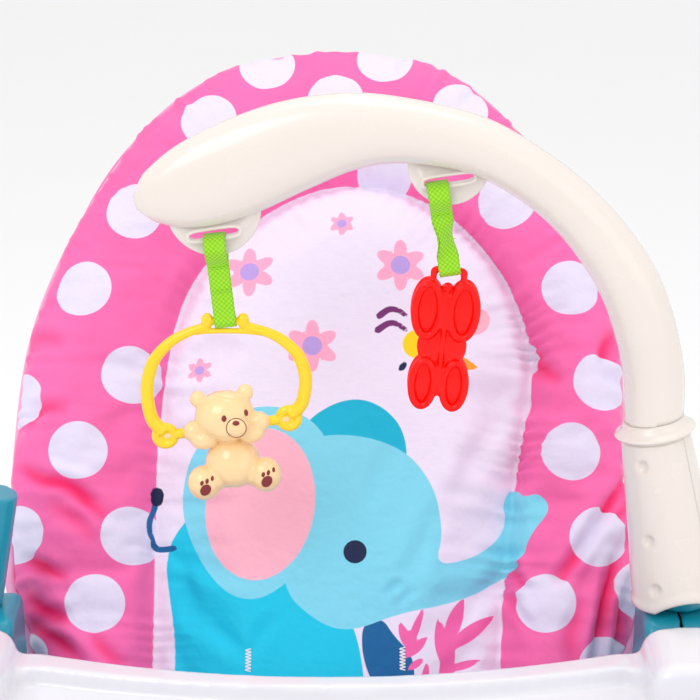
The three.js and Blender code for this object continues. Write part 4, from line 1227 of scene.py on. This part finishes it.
def strip(name, path, low, high, thickness, steps, ripple=0.0):
    """A band along a (y, z) path, from one X to another, with its measures stored for the weave."""
    line = smooth_line(path, 60)
    ahead = np.gradient(line, axis=0)
    ahead /= np.linalg.norm(ahead, axis=1)[:, None]
    spots = np.linspace(low, high, steps)
    half = thickness / 2
    rings = []
    for (y, z), (way_y, way_z) in zip(line, ahead):
        ring = []
        for face in (1, -1):
            for x in spots[::face]:
                edge = 0.55 if x in (spots[0], spots[-1]) else 1.0
                out = face * half * edge + ripple * noise.noise(Vector((x / 14, y / 20, 3)))
                ring.append((x, y - way_z * out, z + way_y * out))
        rings.append(ring)
    obj = place(name, *skin(rings))
    run = np.concatenate([[0], np.cumsum(np.linalg.norm(np.diff(line, axis=0), axis=1))])
    set_weave(obj, np.repeat(run, 2 * steps), np.tile(np.concatenate([spots, spots[::-1]]), len(line)))
    return obj


def cover_strip():
    """The strip of cover that joins seat and back across the recline hinge."""
    line = [(-34, 172), (-22, 176), (-15, 186), (-10, 198), (-4, 210)]
    obj = strip("cover_strip", line, -136, 136, 4, 121, 1.6)
    set_attribute(obj, "panel", SEAM_HALF_WIDTH - np.abs(points_of(obj)[:, 0]))
    obj.data.materials.append(printed_cloth("StripCloth", PINK, [("panel", PANEL)]))
    obj.data.polygons.foreach_set("use_smooth", [True] * len(obj.data.polygons))
    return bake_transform(obj)


BUTTONHOLE_STITCHES = 15
STITCH_REACH = 1.6
STITCH_RISE = 0.95


def buttonhole(name, cover, x, bottom):
    """A short upright row of close white zigzag stitches on the front of the cover."""
    out = BACK_FRAME.to_3x3() @ Vector((0, -1, 0))
    spots = []
    for stitch in range(BUTTONHOLE_STITCHES):
        start = BACK_FRAME @ Vector((x + STITCH_REACH * (-1) ** stitch, -90, bottom + STITCH_RISE * stitch))
        hit, spot, _, _ = cover.ray_cast(start * MM, -out)
        spots.append(tuple(spot / MM + out * 0.2) if hit else tuple(start))
    obj = tube(name, spots, 0.42, count=150, sides=8)
    set_weave(obj, points_of(obj)[:, 2], points_of(obj)[:, 0])
    return dress(obj, thread, "backrest", "pink")


# ---- Harness ----
BAND_THICKNESS = 1.5


def harness():
    for side, name in ((-1, "left"), (1, "right")):
        low, high = sorted((side * 36, side * 58))
        path = [(13, 263), (-22, 203), (-33, 188.6), (-48, 185.6), (-64, 186)]
        band = strip(f"waist_band_{name}", path, low, high, BAND_THICKNESS, 25)
        dress(band, pale_webbing, f"waist_belt_{name}", "webbing", f"waist_strap_{name}")
        tongue = rounded_node(f"buckle_tongue_{name}", purple, "purple", 0.8, 3)
        tongue.name = f"tongue_{name}_skin"
    path = [(-117, 192.4), (-140, 194.8), (-160, 198.2)]
    crotch = strip("crotch_band", path, -12, 12, BAND_THICKNESS, 25)
    dress(crotch, pale_webbing, "chair", "webbing", "crotch_strap")
    rounded_node("buckle_socket", purple, "purple", 1.0, 6)
    press = ball("buckle_press", (0, -84, 204.4), (13, 13, 2.2), 40)
    dress(press, white, "chair", "purple")


# ---- Base ----
TUBE_RADIUS = 11
CROSS_TUBE_HALF_LENGTH = 202
PILLAR_FACE = 221


def straight_tube(name, node):
    """A tube across the chair, round the middle of its CAD node."""
    low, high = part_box(node)
    middle = (low + high) / 2 / MM
    line = [(share * CROSS_TUBE_HALF_LENGTH, middle.y, middle.z) for share in (-1, 0, 1)]
    dress(tube(name, line, TUBE_RADIUS, count=40, sides=40), steel, "chair", "steel", node)


def screw(name, spot, out, radius=3.4):
    """A cross-head screw set in a shallow ring, facing outwards."""
    profile = [(0.01, -1.2), (radius, -1.2), (radius, 0.2), (radius * 0.86, 0.75), (radius * 0.5, 1.0),
               (0.01, 1.05)]
    head = place(name, *skin(lathe(profile, sides=32)))
    facing = Matrix.Translation(Vector(spot)) @ Vector(out).to_track_quat("Z", "Y").to_matrix().to_4x4()
    points = points_of(head)
    cross = (np.minimum(np.abs(points[:, 0]), np.abs(points[:, 1])) < 0.5) & (points[:, 2] > 0.5)
    points[:, 2] -= np.where(cross, 0.45, 0)
    move_points(head, points)
    dress(stand(head, facing), metal, "chair", "steel")


# Parts that come in a left and a right: name, material, slot, voxel and rounds of softening.
PAIRED_PARTS = [
    ("runner", teal, "teal", 1.7, 6), ("pillar_inner", teal, "teal", 1.7, 6),
    ("pillar_outer", teal, "teal", 1.7, 6), ("post", teal, "teal", 1.0, 8),
    ("hub_disc", teal, "teal", 1.3, 8), ("tray_latch_button", teal, "teal", 0.8, 8),
    ("recline_button", purple, "purple", 0.8, 8), ("runner_pad_front", black_rubber, "rubber", 0.9, 3),
    ("runner_pad_rear", black_rubber, "rubber", 0.9, 3), ("kickstand_foot", black_rubber, "rubber", 0.9, 3),
    ("kickstand_pin", metal, "steel", 0.7, 3)]
PILLAR_SCREWS = [(-30, 150), (45, 90), (-6, 236), (92, 80), (-70, 68)]


def base():
    for name in ("left", "right"):
        for part, *finish in PAIRED_PARTS:
            rounded_node(f"{part}_{name}", *finish)
    rounded_node("kickstand_bail", steel, "steel", 1.1, 8)
    straight_tube("front_tube_skin", "cross_tube_front")
    straight_tube("rear_tube_skin", "cross_tube_rear")
    half = [(175.5, -41, 134), (168, -42, 134.5), (160, -58, 137), (160, -130, 149), (158, -212, 157),
            (144, -247, 160), (100, -264, 162)]
    seat_tube = tube("seat_tube_skin", mirrored(half), TUBE_RADIUS, count=220, sides=32)
    dress(seat_tube, steel, "chair", "steel", "seat_tube")
    back = tube("back_tube_skin", BACK_TUBE, TUBE_RADIUS, count=260, sides=32)
    dress(stand(back, BACK_FRAME), steel, "backrest", "steel", "back_tube")
    for side in (-1, 1):
        for number, (y, z) in enumerate(PILLAR_SCREWS):
            name = f"pillar_screw_{number}_{'left' if side < 0 else 'right'}"
            screw(name, (side * PILLAR_FACE, y, z), (side, 0, 0))


UNIT_PARTS = [("unit_case_upper", purple, "purple", 1.2, 8), ("unit_case_lower", purple, "purple", 1.2, 8),
              ("battery_door", purple, "purple", 0.8, 3), ("power_button", white, "white", 0.7, 8),
              ("volume_button", white, "white", 0.7, 8)]


def unit():
    """The vibration unit on the front tube: case halves, battery door, two buttons and what is inside."""
    for part in UNIT_PARTS:
        rounded_node(*part)
    for number, x in enumerate((-44, 44)):
        screw(f"unit_screw_{number}", (x, -300, 86), (0, 0, 1), 2.6)
    for node, material in (("circuit_board", circuit), ("battery", sleeve_print), ("motor", metal),
                           ("motor_weight", metal)):
        mesh = frame["nodes"][node].data
        mesh.materials.clear()
        mesh.materials.append(material)


piping()
back_pocket()
bpy.context.view_layer.update()
buttonhole("buttonhole_left", cover, -48, 89)
buttonhole("buttonhole_right", cover, 43, 90)
seat_cover()
cover_strip()
harness()
base()
unit()


# ---- Room, light and camera ----
FLOOR_REACH = 9000
FLOOR_LEVEL = -0.5
FLOOR_DARK = (0.96, 0.96, 0.96)
FLOOR_LIGHT = (0.98, 0.98, 0.98)
SKY_STRENGTH = 0.92


def room():
    turns = ((-1, -1), (1, -1), (1, 1), (-1, 1))
    corners = [(x * FLOOR_REACH, y * FLOOR_REACH, FLOOR_LEVEL) for x, y in turns]
    floor = place("floor", corners, [(0, 1, 2, 3)])
    material, tree, shader = new_material("PaleFloor", Roughness=0.8)
    grey = mixed(tree, cloud(tree, object_place(tree), 300), FLOOR_DARK, FLOOR_LIGHT)
    tree.links.new(grey, shader.inputs["Base Color"])
    floor.data.materials.append(material)
    world = bpy.data.worlds.new("Studio")
    world.use_nodes = True
    world.node_tree.nodes["Background"].inputs["Color"].default_value = (1, 1, 1, 1)
    world.node_tree.nodes["Background"].inputs["Strength"].default_value = SKY_STRENGTH
    bpy.context.scene.world = world


def lamp(name, place_m, target_m, size, power):
    light = bpy.data.lights.new(name, "AREA")
    light.size = size
    light.energy = power
    obj = linked(name, light)
    obj.location = place_m
    obj.rotation_euler = (Vector(target_m) - Vector(place_m)).to_track_quat("-Z", "Y").to_euler()


CAMERA_TARGET = Vector((0.012, 0, 0.469))
CAMERA_DISTANCE = 1.25
CAMERA_ELEVATION = math.radians(17)
CAMERA_LENS = 115.7
CAMERA_SENSOR = 36


def camera():
    data = bpy.data.cameras.new("Camera")
    data.lens = CAMERA_LENS
    data.sensor_width = CAMERA_SENSOR
    obj = linked("Camera", data)
    away = Vector((0, -math.cos(CAMERA_ELEVATION), math.sin(CAMERA_ELEVATION)))
    obj.location = CAMERA_TARGET + away * CAMERA_DISTANCE
    obj.rotation_euler = (-away).to_track_quat("-Z", "Y").to_euler()
    bpy.context.scene.camera = obj


room()
lamp("key_light", (-1.1, -1.6, 1.9), (0, 0.1, 0.35), 1.1, 11)
lamp("fill_light", (1.5, -1.3, 1.1), (0, 0.1, 0.35), 1.4, 4)
lamp("top_light", (0.1, 0.2, 2.1), (0, 0.1, 0.4), 1.0, 6)
camera()
bpy.context.scene.view_settings.view_transform = "Standard"
